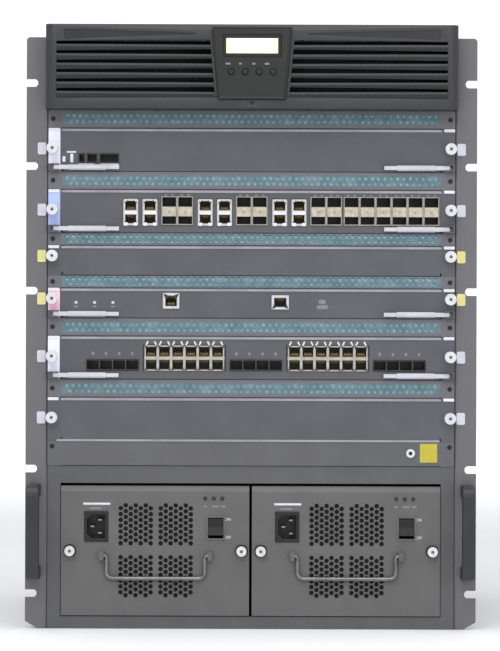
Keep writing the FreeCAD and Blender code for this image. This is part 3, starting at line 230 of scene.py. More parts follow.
# Nylon and PBT: a soft sheen on grips and fans, a pale one on levers and light bars.
grip_plastic = coated("black_nylon_grip", "2a2b2d", "232425", 0.0, 0.44, 1.4, 0.07, 30.0)
rotor_plastic = coated("dark_fan_pbt", "2b2c2e", "242527", 0.0, 0.46, 1.4, 0.04, 30.0)
black_plastic = coated("black_connector_nylon", "131313", "0d0d0d", 0.0, 0.38, 1.0, 0.03, 6.0)
pale_nylon = coated("pale_lavender_nylon", "c8c8cf", "bcbcc4", 0.0, 0.36, 1.2, 0.03, 20.0)
white_nylon = coated("white_nylon", "e2e2e8", "d6d6de", 0.0, 0.36, 1.2, 0.03, 20.0)
rocker_black = coated("matt_black_rocker", "111112", "0b0b0c", 0.0, 0.62, 1.0, 0.03, 6.0)
# A flat black paints the shade in holes, openings and recesses, so that they look deep; lamp lens
# and name plate keep a dark shine.
shade_black = coated("painted_shade_black", "121213", "0c0c0d", 0.0, 0.85, 1.0, 0.06, 6.0)
smoked_lens = coated("smoked_lamp_lens", "2b2c2c", "222323", 0.0, 0.25, 1.0, 0.01, 3.0)
plate_film = coated("dark_name_plate_film", "272729", "222224", 0.0, 0.35, 1.0, 0.01, 30.0)

# %% [markdown]
# ## The cards' boards
# A card's node holds its circuit board and the housings of its sockets: a dull dark rim at the
# very front, black nylon inside the sockets, green laminate behind the plate. They follow each
# other front to back, so the finish switches along Y, and the change falls behind the plate.

# %% Board finish, switching along Y
def board_finish():
    material, tree, shader, place = new_finish("solder_masked_board", 0.0, 0.35)
    depth = add(tree, "ShaderNodeSeparateXYZ", links={"Vector": place}).outputs["Y"]
    weave = noise(tree, place, 4.0, 3.0)
    green = ramp(tree, weave, (0.4, "1d4a33"), (0.6, "2a6044"))
    behind = rising(tree, depth, plate_face + mm(22.9), plate_face + mm(23.1))
    body = add(tree, "ShaderNodeMixRGB", {"Color1": linear("141414")},
               {"Fac": behind, "Color2": green})
    ahead = rising(tree, depth, plate_face - mm(0.3), plate_face - mm(0.2))
    whole = add(tree, "ShaderNodeMixRGB", {"Color1": linear("34322f")},
                {"Fac": ahead, "Color2": body.outputs["Color"]})
    tree.links.new(whole.outputs["Color"], shader.inputs["Base Color"])
    relief(tree, shader, weave, 0.04, 0.5)
    return material


board = board_finish()

# %% [markdown]
# ## Glass, lights and labels
# The screen is a back-lit liquid crystal: almost white when it is on, a little greener towards the
# edge where the light guide ends. Labels are coated paper or polyester film, matt and quite even.

# %% Screen and label finishes
def screen_finish(centre, half_x, half_z):
    material, tree, shader, place = new_finish("backlit_crystal", 0.0, 0.15)
    local = add(tree, "ShaderNodeMapping",
                {"Location": (-centre.x / half_x, 0.0, -centre.z / half_z),
                 "Scale": (1 / half_x, 0.0, 1 / half_z)}, {"Vector": place})
    axes = add(tree, "ShaderNodeSeparateXYZ", links={"Vector": local.outputs["Vector"]}).outputs
    edge = maths(tree, "MAXIMUM", maths(tree, "ABSOLUTE", axes["X"]),
                 maths(tree, "ABSOLUTE", axes["Z"]))
    glow = ramp(tree, edge, (0.86, "fdfef8"), (1.0, "b9c27c"))
    dots = add(tree, "ShaderNodeTexChecker", {"Scale": 1000 / 1.2}, {"Vector": place})
    relief(tree, shader, dots.outputs["Fac"], 0.01, 0.1)
    tree.links.new(glow, shader.inputs["Base Color"])
    tree.links.new(glow, shader.inputs["Emission Color"])
    shader.inputs["Emission Strength"].default_value = 0.9
    return material


glass_low, glass_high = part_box("display_glass")
lit_backing = screen_finish((glass_low + glass_high) / 2, (glass_high.x - glass_low.x) / 2,
                       (glass_high.z - glass_low.z) / 2)
# Label films differ only in colour, which tells card kinds and slots apart. The ear tabs' white
# film is a greyer copy, painted shade.
white_label, white_label_painted_shade, blue_label, pink_label, yellow_label, pale_yellow_label = [
    coated(name, light, dark, 0.0, 0.45, 1.5, 0.01, 15.0) for name, light, dark in (
        ("white_film_label", "eceef8", "e0e3f2"), ("white_film_label_painted_shade", "cbcdd6", "bfc1cb"),
        ("blue_film_label", "b2c2ec", "a6b6e2"), ("pink_film_label", "fbd1e1", "f1bdd1"),
        ("yellow_film_label", "c0b539", "b8aa2b"), ("pale_yellow_label", "dcd593", "d2c881"))]
# Screen print is a thin flat ink, white for words and grey for small marks.
ink = coated("white_screen_print", "dcdde2", "cfd0d6", 0.0, 0.5, 1.0, 0.005, 6.0)
faint_ink = coated("grey_screen_print", "838488", "78797d", 0.0, 0.5, 1.0, 0.005, 6.0)
# An unlit lamp's lens is a smooth greenish white.
lamp_off = coated("unlit_lamp_lens", "c9cfc0", "b5bda9", 0.0, 0.2, 1.0, 0.01, 3.0)

# %% [markdown]
# ## Finishing the solid model's own nodes
# Most nodes only need a finish. Paint softens sheet edges, and a thin bright line runs along them,
# which a bevel of a few tenths of a millimetre gives. The nodes are loose triangles, so a weld
# modifier joins them first. Both modifiers stay live and leave the node's own mesh as it is.

# %% Assign finishes to nodes
def coat(piece, material):
    piece.data.materials.clear()
    piece.data.materials.append(material)


def break_edges(piece, width_mm, segments=2, degrees=40):
    bevel = piece.modifiers.new("broken_edge", "BEVEL")
    bevel.width = mm(width_mm)
    bevel.segments = segments
    bevel.limit_method = "ANGLE"
    bevel.angle_limit = math.radians(degrees)


plain = [
    (case_paint, 0.0, "chassis_body rear_panel"),
    (case_paint, 0.4, "top_cover rack_ear_left rack_ear_right"), (bay_paint, 0.4, "psu_bay_frame"),
    (grip_plastic, 1.2, "carry_handle_left carry_handle_right"), (board, 0.0, "backplane"),
    (zinc, 0.0, "fan_shelf psu_shelf guide_rack_left guide_rack_right fan_tray"),
    (zinc, 0.0, "psu_left_case psu_right_case"), (strip_paint, 0.3, "service_strip"),
    (screw_nickel, 0.3, "ground_jack"), (black_steel, 0.3, "panel_screws"),
    (rotor_plastic, 0.4, "fan_rotor_left fan_rotor_right"), (bezel_plastic, 0.6, "fan_bezel"),
    (display_plastic, 0.5, "display_panel menu_button_1 menu_button_2 menu_button_3 menu_button_4"),
    (lit_backing, 0.2, "display_glass"), (panel_paint, 0.3, "blank_panel_3 blank_panel_6"),
    (black_plastic, 0.4, "psu_left_inlet psu_right_inlet"),
    (rocker_black, 0.3, "psu_left_rocker psu_right_rocker")]
for slot in card_slots:
    plain += [(panel_paint, 0.3, f"card_{slot}_faceplate"), (board, 0.0, f"card_{slot}_board"),
              (pale_nylon, 0.4, f"card_{slot}_lever_left card_{slot}_lever_right")]
for material, edge_mm, names in plain:
    for node in names.split():
        coat(nodes[node], material)
        if edge_mm:
            weld = nodes[node].modifiers.new("joined", "WELD")
            weld.merge_threshold = 1e-6
            break_edges(nodes[node], edge_mm)
print("finished", sum(len(names.split()) for _, _, names in plain), "nodes of", len(nodes))

# %% [markdown]
# ## Modelling helpers
# The added pieces are modelled as by hand: a primitive is placed, some of its parts are selected,
# and an operator shapes them. Selecting by eye becomes a test on each part's middle and normal. A
# finished piece gets its finish and the body it rides on, so that it follows that body's joint.

# %% Selecting, finishing and copying
hair = 1e-5  # how near two coordinates are before they count as the same


def clear_selection():
    if bpy.context.mode != "OBJECT":
        bpy.ops.object.mode_set(mode="OBJECT")
    bpy.ops.object.select_all(action="DESELECT")


def focus(piece):
    """Make this piece the active and only selected one."""
    clear_selection()
    bpy.context.view_layer.objects.active = piece
    piece.select_set(True)


def pick(piece, kind, test=lambda middle, normal: True):
    """Enter edit mode with only the points or faces that pass the test(middle, normal)."""
    focus(piece)
    mesh = piece.data
    for parts in (mesh.vertices, mesh.edges, mesh.polygons):
        parts.foreach_set("select", [False] * len(parts))
    if kind == "FACE":
        for face in mesh.polygons:
            face.select = test(face.center, face.normal)
    else:
        for vertex in mesh.vertices:
            vertex.select = test(vertex.co, vertex.normal)
    bpy.context.tool_settings.mesh_select_mode = (kind == "VERT", False, kind == "FACE")
    bpy.ops.object.mode_set(mode="EDIT")


def cut_faces(piece, test):
    """From edit mode, delete the faces that pass the test(face)."""
    bpy.ops.object.mode_set(mode="OBJECT")
    for face in piece.data.polygons:
        face.select = test(face)
    bpy.ops.object.mode_set(mode="EDIT")
    bpy.ops.mesh.select_mode(type="FACE")
    bpy.ops.mesh.delete(type="FACE")
    clear_selection()


def settle(piece):
    """Leave edit mode and write the object's place, turn and size into its mesh."""
    focus(piece)
    bpy.ops.object.transform_apply(location=True, rotation=True, scale=True)


def apply_all(piece):
    focus(piece)
    for modifier in list(piece.modifiers):
        bpy.ops.object.modifier_apply(modifier=modifier.name)


def thicken(piece, thickness, offset=-1.0):
    """Give a flat piece its gauge; the offset says on which side."""
    gauge = piece.modifiers.new("gauge", "SOLIDIFY")
    gauge.thickness = thickness
    gauge.offset = offset
    apply_all(piece)


def dressed(piece, name, body, material):
    """Name a settled piece, give it its finish and its body."""
    piece.name = name
    piece.data.name = name
    coat(piece, material)
    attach(piece, body)
    return piece


def twin(piece, name, shift, body, material=None, flip_x=False, flip_z=False):
    """A copy with its own mesh, moved or mirrored, riding on its own body."""
    other = piece.copy()
    other.data = piece.data.copy()
    bpy.context.scene.collection.objects.link(other)
    flips = (-1.0 if flip_x else 1.0, 1.0, -1.0 if flip_z else 1.0, 1.0)
    other.data.transform(Matrix.Diagonal(flips))
    if flip_x != flip_z:
        other.data.flip_normals()
    other.data.transform(Matrix.Translation(Vector(shift)))
    other.name = name
    other.data.name = name
    if material:
        coat(other, material)
    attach(other, body)
    return other


def joined(pieces):
    """Join pieces into the first."""
    focus(pieces[0])
    for piece in pieces:
        piece.select_set(True)
    bpy.ops.object.join()
    return pieces[0]


def facing_grid(name, columns, rows, width, height, centre, turn=0.0):
    """A grid of cells that stands upright and faces the front."""
    clear_selection()
    bpy.ops.mesh.primitive_grid_add(x_subdivisions=columns, y_subdivisions=rows, size=1.0)
    piece = bpy.context.object
    piece.name = name
    piece.scale = (width, height, 1.0)
    piece.rotation_euler = (math.radians(90), math.radians(turn), 0.0)
    piece.location = centre
    settle(piece)
    return piece


def stretched(piece, test, shift):
    """Move the points that pass the test."""
    pick(piece, "VERT", lambda co, n: test(co))
    bpy.ops.transform.translate(value=shift)
    clear_selection()


# %% [markdown]
# ## Perforated sheet
# The vents are sheet steel with rows of round punched holes. Cutting each with a boolean would be
# slow. Instead one grid point sits at each hole's centre, and a vertex bevel opens it into four
# small faces that together make an octagon. They are deleted, and the sheet is thickened. At the
# profile used, the ring's middle points lie as far out as its corners.

# %% One punched row
ROUND_PROFILE = 0.0858


def punched_row(name, count, pitch, height, hole_radius, centre, along_x=True):
    """A flat row of holes; the sheet ends half a pitch past the end holes."""
    if along_x:
        piece = facing_grid(name, count + 1, 2, (count + 1) * pitch, height, centre)
    else:
        piece = facing_grid(name, 2, count + 1, height, (count + 1) * pitch, centre)
    half_x = max(v.co.x for v in piece.data.vertices) - centre[0] - hair
    half_z = max(v.co.z for v in piece.data.vertices) - centre[2] - hair
    pick(piece, "VERT",
         lambda co, n: abs(co.x - centre[0]) < half_x and abs(co.z - centre[2]) < half_z)
    bpy.ops.mesh.bevel(offset=hole_radius, offset_type="OFFSET", affect="VERTICES", segments=2,
                       profile=ROUND_PROFILE)
    small_face = 0.4 * math.pi * hole_radius ** 2
    cut_faces(piece, lambda face: len(face.vertices) == 4 and face.area < small_face)
    return piece


# %% [markdown]
# ## Vent strips
# Each strip has two staggered rows of holes between plain ends. A pale sheet behind it makes the
# holes look light: it paints the light seen through them. The strip's middle has the blue-green
# tint of a chromate coat and its ends are grey like the plates, so its finish changes by X and Z.

# %% Strip finish
def strip_finish(half_width, middle, half_height):
    """Blue-green between two edges across and two levels, grey outside them."""
    material, tree, shader, place = new_finish("tinted_vent_coat", 0.05, 0.45)
    axes = add(tree, "ShaderNodeSeparateXYZ", links={"Vector": place}).outputs
    across = maths(tree, "ABSOLUTE", axes["X"])
    level = maths(tree, "ABSOLUTE", maths(tree, "SUBTRACT", axes["Z"], middle))
    outside = maths(tree, "MAXIMUM", rising(tree, across, half_width, half_width + mm(3)),
                    rising(tree, level, half_height - mm(1.2), half_height + mm(0.6)))
    cloud = noise(tree, place, 14.0, 5.0, 0.65)
    tint = ramp(tree, cloud, (0.32, "4a6a73"), (0.5, "58757e"), (0.68, "6f8590"))
    both = add(tree, "ShaderNodeMixRGB", {"Color2": linear("67666b")},
               {"Fac": outside, "Color1": tint})
    tree.links.new(both.outputs["Color"], shader.inputs["Base Color"])
    relief(tree, shader, noise(tree, place, 1.6, 2.0), 0.04)
    return material


# The sheet behind the holes: pale blue-green and rough, it paints the light seen through each hole.
lit_hole_backing = coated("pale_backing_painted_light", "b7d3d6", "8fb3b8", 0.1, 0.5, 1.5, 0.08, 7.0)

# %% Six perforated strips
vent_half, vent_rise = mm(201), mm(5.8)
vent_pitch, vent_hole, row_rise = mm(6.8), mm(2.1), mm(2.95)
for slot in range(1, 7):
    node = f"vent_strip_{slot}"
    low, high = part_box(node)
    middle = (low.z + high.z) / 2
    rows = []
    for sign, count in ((1, 59), (-1, 58)):
        centre = (0.0, low.y, middle + sign * row_rise)
        row = punched_row("row", count, vent_pitch, 2 * row_rise, vent_hole, centre)
        reach = (count + 1) * vent_pitch / 2
        border = middle + 2 * sign * row_rise
        edge_z = (high.z if sign > 0 else low.z) - border
        stretched(row, lambda co: abs(co.z - border) < hair, (0.0, 0.0, edge_z))
        for side in (-1, 1):
            stretched(row, lambda co: abs(co.x - side * reach) < hair,
                      (side * (high.x - reach), 0.0, 0.0))
        rows.append(row)
    strip = joined(rows)
    pick(strip, "VERT")
    bpy.ops.mesh.remove_doubles(threshold=1e-6)
    clear_selection()
    thicken(strip, high.y - low.y)
    vent_coat = strip_finish(vent_half, middle, min(vent_rise, (high.z - low.z) / 2 - mm(0.6)))
    dressed(strip, f"vent_{slot}_sheet", "chassis", vent_coat)
    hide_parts(node)
    # A pale sheet behind the holes paints the light seen through them.
    lit_backing_sheet = facing_grid(f"vent_{slot}_screen", 40, 2, 2 * vent_half,
                             high.z - low.z - mm(4), (0.0, high.y + mm(0.6), middle))
    thicken(lit_backing_sheet, mm(0.4))
    dressed(lit_backing_sheet, f"vent_{slot}_screen", "chassis", lit_hole_backing)
print("strip faces", len(strip.data.polygons))

# %% [markdown]
# ## Supply fronts
# Each supply's front is one sheet with four punched blocks of holes, coarser in the solid model.
# So a copy of its front is taken, its triangles are joined back into flat faces, and each block is
# cut out as a window. Seven staggered columns fill it, as a punching tool keeps the webs even.

# %% Copy the front and cut its windows
hole_pitch_x, hole_pitch_z, punch_radius = mm(5.35), mm(6.23), mm(2.6)
columns, holes_up = 7, 7
case_low, case_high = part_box("psu_left_case")
supply_x = (case_low.x + case_high.x) / 2
supply_pitch = (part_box("psu_right_case")[0] - case_low).x
supplies = (("left", 0.0), ("right", supply_pitch))
supply_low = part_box("psu_left_front")[0]
supply_face = supply_low.y + mm(9)  # the screw heads stand 9 mm ahead of the sheet
blocks_middle = supply_x + mm(0.7)
blocks_x = (blocks_middle - mm(21.4), blocks_middle + mm(21.4))
# Each row of blocks: its bottom and top, its lowest hole, and which way odd columns are shifted.
blocks_z = ((mm(29.3), mm(80.3), mm(39.1), -1), (mm(88.2), mm(135.4), mm(91.6), 1))

clear_selection()
front = bpy.data.objects.new("supply_front", nodes["psu_left_front"].data.copy())
bpy.context.scene.collection.objects.link(front)
pick(front, "VERT")
bpy.ops.mesh.remove_doubles(threshold=1e-6)
bpy.ops.mesh.dissolve_limited(angle_limit=math.radians(1))
clear_selection()
cutters = []
for x in blocks_x:
    for low, high, first, stagger in blocks_z:
        bpy.ops.mesh.primitive_cube_add(size=1.0, location=(x, plate_face, (low + high) / 2))
        cutter = bpy.context.object
        cutter.scale = (columns * hole_pitch_x, mm(8), high - low)
        settle(cutter)
        cutters.append(cutter)
cutter = joined(cutters)
cut = front.modifiers.new("windows", "BOOLEAN")
cut.object = cutter
cut.solver = "EXACT"
apply_all(front)
bpy.data.objects.remove(cutter)
print("front faces", len(front.data.polygons))

# %% Fill the windows with punched columns
fillers = []
half_column = (holes_up + 1) / 2 * hole_pitch_z
for x in blocks_x:
    for low, high, first, stagger in blocks_z:
        for column in range(columns):
            column_x = x + (column - (columns - 1) / 2) * hole_pitch_x
            start = first + (column % 2) * stagger * hole_pitch_z / 2
            centre = (column_x, plate_face, start + (holes_up - 1) / 2 * hole_pitch_z)
            strip = punched_row("column", holes_up, hole_pitch_z, hole_pitch_x, punch_radius,
                                centre, False)
            for end, limit in ((centre[2] + half_column, high), (centre[2] - half_column, low)):
                stretched(strip, lambda co: abs(co.z - end) < hair, (0.0, 0.0, limit - end))
            fillers.append(strip)
filler = joined(fillers)
thicken(filler, mm(1.5))
print("punched columns", len(fillers), "faces", len(filler.data.polygons))

# %% Bevel the front and place both supplies
break_edges(front, 0.35)
apply_all(front)
supply_front = joined([front, filler])
dressed(supply_front, "supply_left_front", "psu_left", supply_paint)
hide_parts("psu_left_front")
other_front = twin(supply_front, "supply_right_front", (supply_pitch, 0.0, 0.0), "psu_right")
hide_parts("psu_right_front")

# %% [markdown]
# ## Drop handles
# A drop handle is one length of round wire, bent four times. It is made as the wire is: a circle is
# extruded along the straight runs and spun round each bend, and a mirror makes the other half.

# %% One handle, bent from a circle
handle_low, handle_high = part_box("psu_left_handle")
wire_radius = mm(2.25)
handle_x = (handle_low.x + handle_high.x) / 2
handle_y = (handle_low.y + handle_high.y) / 2
pivot_z = handle_high.z - wire_radius
grip_z = handle_low.z + wire_radius
leg_x = handle_x + mm(52.5)
small_bend, big_bend = mm(3.05), mm(7.0)


def extend(x, z):
    bpy.ops.mesh.extrude_region_move(TRANSFORM_OT_translate={"value": (x, 0.0, z)})


def bend(degrees, x, z, steps):
    bpy.ops.mesh.spin(steps=steps, angle=math.radians(degrees), center=(x, handle_y, z),
                      axis=(0.0, 1.0, 0.0))


clear_selection()
bpy.ops.mesh.primitive_circle_add(vertices=16, radius=wire_radius, fill_type="NGON",
                                  location=(handle_high.x, handle_y, pivot_z),
                                  rotation=(0.0, math.radians(90), 0.0))
wire = bpy.context.object
settle(wire)
pick(wire, "FACE")
extend(leg_x + small_bend - handle_high.x, 0.0)
bend(90, leg_x + small_bend, pivot_z - small_bend, 6)
extend(0.0, grip_z + big_bend - (pivot_z - small_bend))
bend(-90, leg_x - big_bend, grip_z + big_bend, 8)
extend(handle_x - (leg_x - big_bend), 0.0)
bpy.ops.mesh.delete(type="FACE")
clear_selection()
print("wire reaches", round(min(v.co.x for v in wire.data.vertices) - handle_x, 5),
      round(min(v.co.z for v in wire.data.vertices) - handle_low.z, 5))

# %% Mirror the wire and hang one on each supply
bpy.ops.object.empty_add(location=(handle_x, 0.0, 0.0))
plane = bpy.context.object
mirror = wire.modifiers.new("other_half", "MIRROR")
mirror.mirror_object = plane
mirror.merge_threshold = mm(0.05)
apply_all(wire)
bpy.data.objects.remove(plane)
pick(wire, "FACE")
bpy.ops.mesh.remove_doubles(threshold=1e-6)
bpy.ops.mesh.normals_make_consistent(inside=False)
focus(wire)
bpy.ops.object.shade_smooth_by_angle(angle=math.radians(40))
dressed(wire, "supply_left_wire_handle", "psu_left_handle", handle_nickel)
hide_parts("psu_left_handle")
other_wire = twin(wire, "supply_right_wire_handle", (supply_pitch, 0.0, 0.0), "psu_right_handle")
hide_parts("psu_right_handle")

# %% [markdown]
# ## Captive thumbscrews
# Two knurled screws hold every plate and stay in it. One detailed head goes over each plain one of
# the solid model: a cylinder whose side faces are drawn in by turns for the knurl, a chamfered
# rim, and a driver recess. It is a hair wider than the head it covers, and copied to each place.

# %% One knurled head, facing the front
def knurled_head(name, radius, reach):
    clear_selection()
    bpy.ops.mesh.primitive_cylinder_add(vertices=48, radius=radius, depth=reach,
                                        end_fill_type="NGON",
                                        location=(0.0, plate_face - reach / 2, 0.0),
                                        rotation=(math.radians(90), 0.0, 0.0))
    head = bpy.context.object
    settle(head)
    face_y = plate_face - reach
    pick(head, "FACE", lambda co, n: n.y < -0.9)
    bpy.ops.mesh.inset(thickness=mm(0.8), depth=mm(0.5))
    bpy.ops.mesh.inset(thickness=radius - mm(2.6), depth=0.0)
    bpy.ops.mesh.inset(thickness=mm(0.2), depth=-mm(0.9))
    focus(head)
    side_area = mm(0.5) * mm(2)
    for i, face in enumerate(head.data.polygons):
        face.select = abs(face.normal.y) < 0.1 and face.area > side_area and i % 2 == 0
    bpy.context.tool_settings.mesh_select_mode = (False, False, True)
    bpy.ops.object.mode_set(mode="EDIT")
    bpy.ops.mesh.inset(thickness=mm(0.12), depth=-mm(0.25), use_individual=True)
    stretched(head, lambda co: co.y < face_y - mm(0.01), (0.0, mm(0.5), 0.0))
    print(name, "faces", len(head.data.polygons))
    return head


# %% Place the screws on cards, blanks and supplies
plate_rise, plate_high, plate_body, plate_low = {}, {}, {}, {}
for slot in range(1, 7):
    filled = slot in card_slots
    plate_rise[slot], plate_high[slot] = (20.9, 32.4) if slot in low_slots else (24.8, 46.6)
    plate_body[slot] = f"card_{slot}" if filled else "chassis"
    node = f"card_{slot}_faceplate" if filled else f"blank_panel_{slot}"
    plate_low[slot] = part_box(node)[0].z
screw_reach = plate_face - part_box("blank_panel_3")[0].y
screw_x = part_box("blank_panel_3")[1].x - mm(6)
first_screw = knurled_head("knurled_head", mm(6.1), screw_reach + mm(0.1))
for slot in range(1, 7):
    for side, sign in SIDES:
        place = (sign * screw_x, 0.0, plate_low[slot] + mm(plate_rise[slot]))
        name = f"slot_{slot}_screw_{side}"
        screw = twin(first_screw, name, place, plate_body[slot], screw_nickel)
bpy.data.objects.remove(first_screw)
supply_screws, supply_screw_z = (("left", mm(-91.1)), ("right", mm(92.5))), mm(83.5)
supply_screw = knurled_head("supply_head", mm(5.4), plate_face - supply_low.y + mm(0.1))
for supply, shift in supplies:
    for side, dx in supply_screws:
        place = (supply_x + shift + dx, 0.0, supply_screw_z)
        name = f"supply_{supply}_screw_{side}"
        screw = twin(supply_screw, name, place, "psu_" + supply, screw_nickel)
bpy.data.objects.remove(supply_screw)

# %% [markdown]
# ## Labels
# Film labels mark the cards and the slots: one down the left end of each card, one beside each
# thumbscrew on the rack ears. A label is a plane whose corner points are bevelled and which gets
# the thickness of film. Nothing is printed on them.

# %% One maker for labels, marks and small bars
def tile(name, centre, width, height, corner, thick, material, body, turn=0.0):
    """A thin upright block with rounded corners, its back at the centre's depth. Sizes in mm."""
    piece = facing_grid(name, 1, 1, mm(width), mm(height), centre, turn)
    pick(piece, "VERT")
    bpy.ops.mesh.bevel(offset=mm(corner), affect="VERTICES", segments=3)
    clear_selection()
    thicken(piece, mm(thick), 1.0)
    return dressed(piece, name, body, material)


# %% Card labels and ear labels
for slot, material in ((1, white_label), (2, blue_label), (4, pink_label), (5, white_label)):
    place = (-mm(211.2), plate_face, plate_low[slot] + mm(plate_high[slot] / 2 + 0.2))
    tile(f"card_{slot}_label", place, 12.6, plate_high[slot] - 1.0, 0.8, 0.25, material,
         f"card_{slot}")
ear_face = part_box("rack_ear_left")[0].y
for slot in range(1, 7):
    # The white ear tabs use a greyer copy of the white film, painted shade.
    material = pale_yellow_label if slot in low_slots else white_label_painted_shade
    for side, sign in SIDES:
        place = (sign * mm(224.6), ear_face, plate_low[slot] + mm(plate_rise[slot] - 0.3))
        tile(f"slot_{slot}_tab_{side}", place, 9.0, 12.8, 1.6, 0.8, material, "chassis")
tile("strap_label", (mm(190.2), strip_face, mm(189.0)), 18.4, 20.0, 0.6, 0.25, yellow_label,
     "chassis")

# %% [markdown]
# ## Connector fronts
# Jacks and cages show as dark housings with thin metal shields and light bars in front. A shield
# is a grid with one cell for each mouth: an individual inset leaves a frame round each, a vertex
# bevel cuts the corners beside the latch notch, and the middle faces are deleted. Contact springs
# are slats of a fine grid, leaned back.

# %% Shields with one opening to a cell
nose_face = plate_face - mm(0.8)
shield_face = nose_face - mm(0.5)


def shield(name, slot, middle_x, columns, pitch, heights, margin, material, cut_ends=(), cut=0.0):
    """One row of mouths between each two heights above the plate's lower edge. Sizes in mm."""
    rows, margin = len(heights) - 1, mm(margin)
    low, high = plate_low[slot] + mm(heights[0]), plate_low[slot] + mm(heights[-1])
    piece = facing_grid(name, columns, rows, columns * mm(pitch), high - low,
                        (mm(middle_x), nose_face, (low + high) / 2))
    pick(piece, "FACE")
    bpy.ops.mesh.inset(thickness=margin, depth=0.0, use_individual=True)
    if cut_ends:
        levels = [{"top": high - margin, "bottom": low + margin}[end] for end in cut_ends]
        pick(piece, "VERT", lambda co, n: any(abs(co.z - level) < hair for level in levels))
        bpy.ops.mesh.bevel(offset=mm(cut), affect="VERTICES", segments=1)
    mouth = (mm(pitch) - 2 * margin) * ((high - low) / rows - 2 * margin)
    cut_faces(piece, lambda face: face.area > 0.6 * mouth)
    thicken(piece, mm(0.5), 1.0)
    break_edges(piece, 0.15, segments=1, degrees=30)
    apply_all(piece)
    return dressed(piece, name, f"card_{slot}", material)


# %% One set of contact springs
slats, slat_width = 15, mm(0.51)
springs = facing_grid("contact_springs", slats, 1, slats * slat_width, mm(4.6),
                      (0.0, nose_face + mm(1.6), 0.0))
pick(springs, "FACE", lambda co, n: round(co.x / slat_width + slats // 2) % 2 == 1)
bpy.ops.mesh.delete(type="FACE")
stretched(springs, lambda co: co.z < 0, (0.0, mm(3.0), 0.0))
thicken(springs, mm(0.35))
print("springs", len(springs.data.polygons), "faces")


def spring_set(name, slot, x, rise, flip):
    place = (mm(x), 0.0, plate_low[slot] + mm(rise))
    piece = twin(springs, name, place, f"card_{slot}", gold, flip_z=flip)


def card_tile(name, slot, x, rise, width, height, corner, thick, material, depth=plate_face,
              turn=0.0):
    """A tile on a card; x and the rise above the plate's lower edge are in mm."""
    place = (mm(x), depth, plate_low[slot] + mm(rise))
    tile(name, place, width, height, corner, thick, material, f"card_{slot}", turn=turn)


# %% Slot 2: stacked jacks with light bars, and stacked cages with cream bands
jacks_x, group_pitch, jack_pitch, cage_pitch = -129.3, 79.7, 20.6, 17.1
both_ends = ("top", "bottom")
for i in range(6):
    x = jacks_x + group_pitch * (i // 2) + jack_pitch * (i % 2)
    name = f"card_2_jack_{i + 1}"
    shield(name + "_shield", 2, x, 1, 16.0, (8.0, 22.2, 36.4), 2.2, tin, both_ends, 3.2)
    card_tile(name + "_bar", 2, x, 21.6, 13.4, 3.7, 0.6, 0.7, white_nylon, shield_face)
    for side, sign in SIDES:
        card_tile(name + "_foot_" + side, 2, x + 5.2 * sign, 9.4, 4.6, 3.4, 0.9, 0.5,
                  white_nylon, shield_face)
        card_tile(name + "_lamp_" + side, 2, x + 5.9 * sign, 34.6, 3.2, 2.4, 0.6, 0.3,
                  lamp_off, shield_face)
    spring_set(name + "_springs_low", 2, x, 16.6, False)
    spring_set(name + "_springs_high", 2, x, 28.2, True)
cage_groups = ((-88.1, 2), (-8.4, 2), (71.3, 2), (106.9, 6))
cages = [first + cage_pitch * i for first, count in cage_groups for i in range(count)]
for i, x in enumerate(cages, 1):
    name = f"card_2_cage_{i:02d}"
    card_tile(name + "_band", 2, x, 22.9, 14.6, 10.2, 0.7, 1.1, cream_band, nose_face)
    card_tile(name + "_pointer", 2, x, 22.6, 2.2, 2.6, 0.8, 0.2, cage_tin, nose_face - mm(1.1))
    for side, sign in SIDES:
        card_tile(name + "_print_" + side, 2, x + 3.6 * sign, 40.6, 3.0, 1.6, 0.4, 0.12, faint_ink)
for i, (first, count) in enumerate(cage_groups, 1):
    shield(f"card_2_cage_frame_{i}", 2, first + cage_pitch * (count - 1) / 2, count,
           cage_pitch, (8.4, 39.4), 1.2, cage_tin)

# %% Slot 5: rows of cages and two blocks of jacks
cages_x, row_pitch, cage_width, jack_width = -169.2, 153.4, 14.0, 14.2
for group in range(3):
    first = cages_x + row_pitch * group
    shield(f"card_5_cage_frame_{group + 1}", 5, first + 1.5 * cage_width, 4, cage_width,
           (9.6, 21.2), 0.8, cage_steel)
    for i in range(4):
        card_tile(f"card_5_drop_{group + 1}_{i + 1}", 5, first + cage_width * i, 27.6,
                  2.6, 3.6, 1.2, 0.12, faint_ink)
    if group == 2:
        break
    start = first + 62.3
    middle = start + 2.5 * jack_width
    block = f"card_5_block_{group + 1}"
    shield(block, 5, middle, 6, jack_width, (9.4, 22.9, 36.4), 1.4, ivory, both_ends, 3.1)
    card_tile(block + "_bar", 5, middle, 22.9, 86.0, 3.4, 0.5, 0.35, ivory, shield_face)
    for i in range(6):
        x = start + jack_width * i
        spring_set(block + f"_springs_low_{i + 1}", 5, x, 18.2, False)
        spring_set(block + f"_springs_high_{i + 1}", 5, x, 29.0, True)
        for side, sign in SIDES:
            card_tile(block + f"_arm_{i + 1}_{side}", 5, x + 4.6 * sign, 38.6, 1.7, 5.4,
                      0.5, 0.12, ink, turn=-26.0 * sign)

# %% Slots 4 and 1: single jacks and small sockets
for i, (x, width, low, high, end, rise) in enumerate((
        (-85.8, 17.8, 10.2, 27.0, "top", 17.0), (31.0, 18.6, 9.7, 24.9, "bottom", 19.6)), 1):
    name = f"card_4_jack_{i}"
    shield(name + "_shield", 4, x, 1, width, (low, high), 2.7, bright_tin, (end,), 3.2)
    spring_set(name + "_springs", 4, x, rise, end == "top")
for i, x in enumerate((-187.5, -167.7, -148.0), 1):
    card_tile(f"card_4_lamp_{i}", 4, x, 16.6, 3.4, 3.0, 1.4, 0.5, lamp_off)
    card_tile(f"card_4_print_{i}", 4, x, 12.2, 4.4, 1.6, 0.4, 0.12, faint_ink)
card_tile("card_4_symbol_foot", 4, 76.2, 12.4, 12.4, 4.2, 1.4, 0.12, faint_ink)
card_tile("card_4_symbol_top", 4, 75.8, 18.0, 7.6, 4.6, 1.8, 0.12, faint_ink)
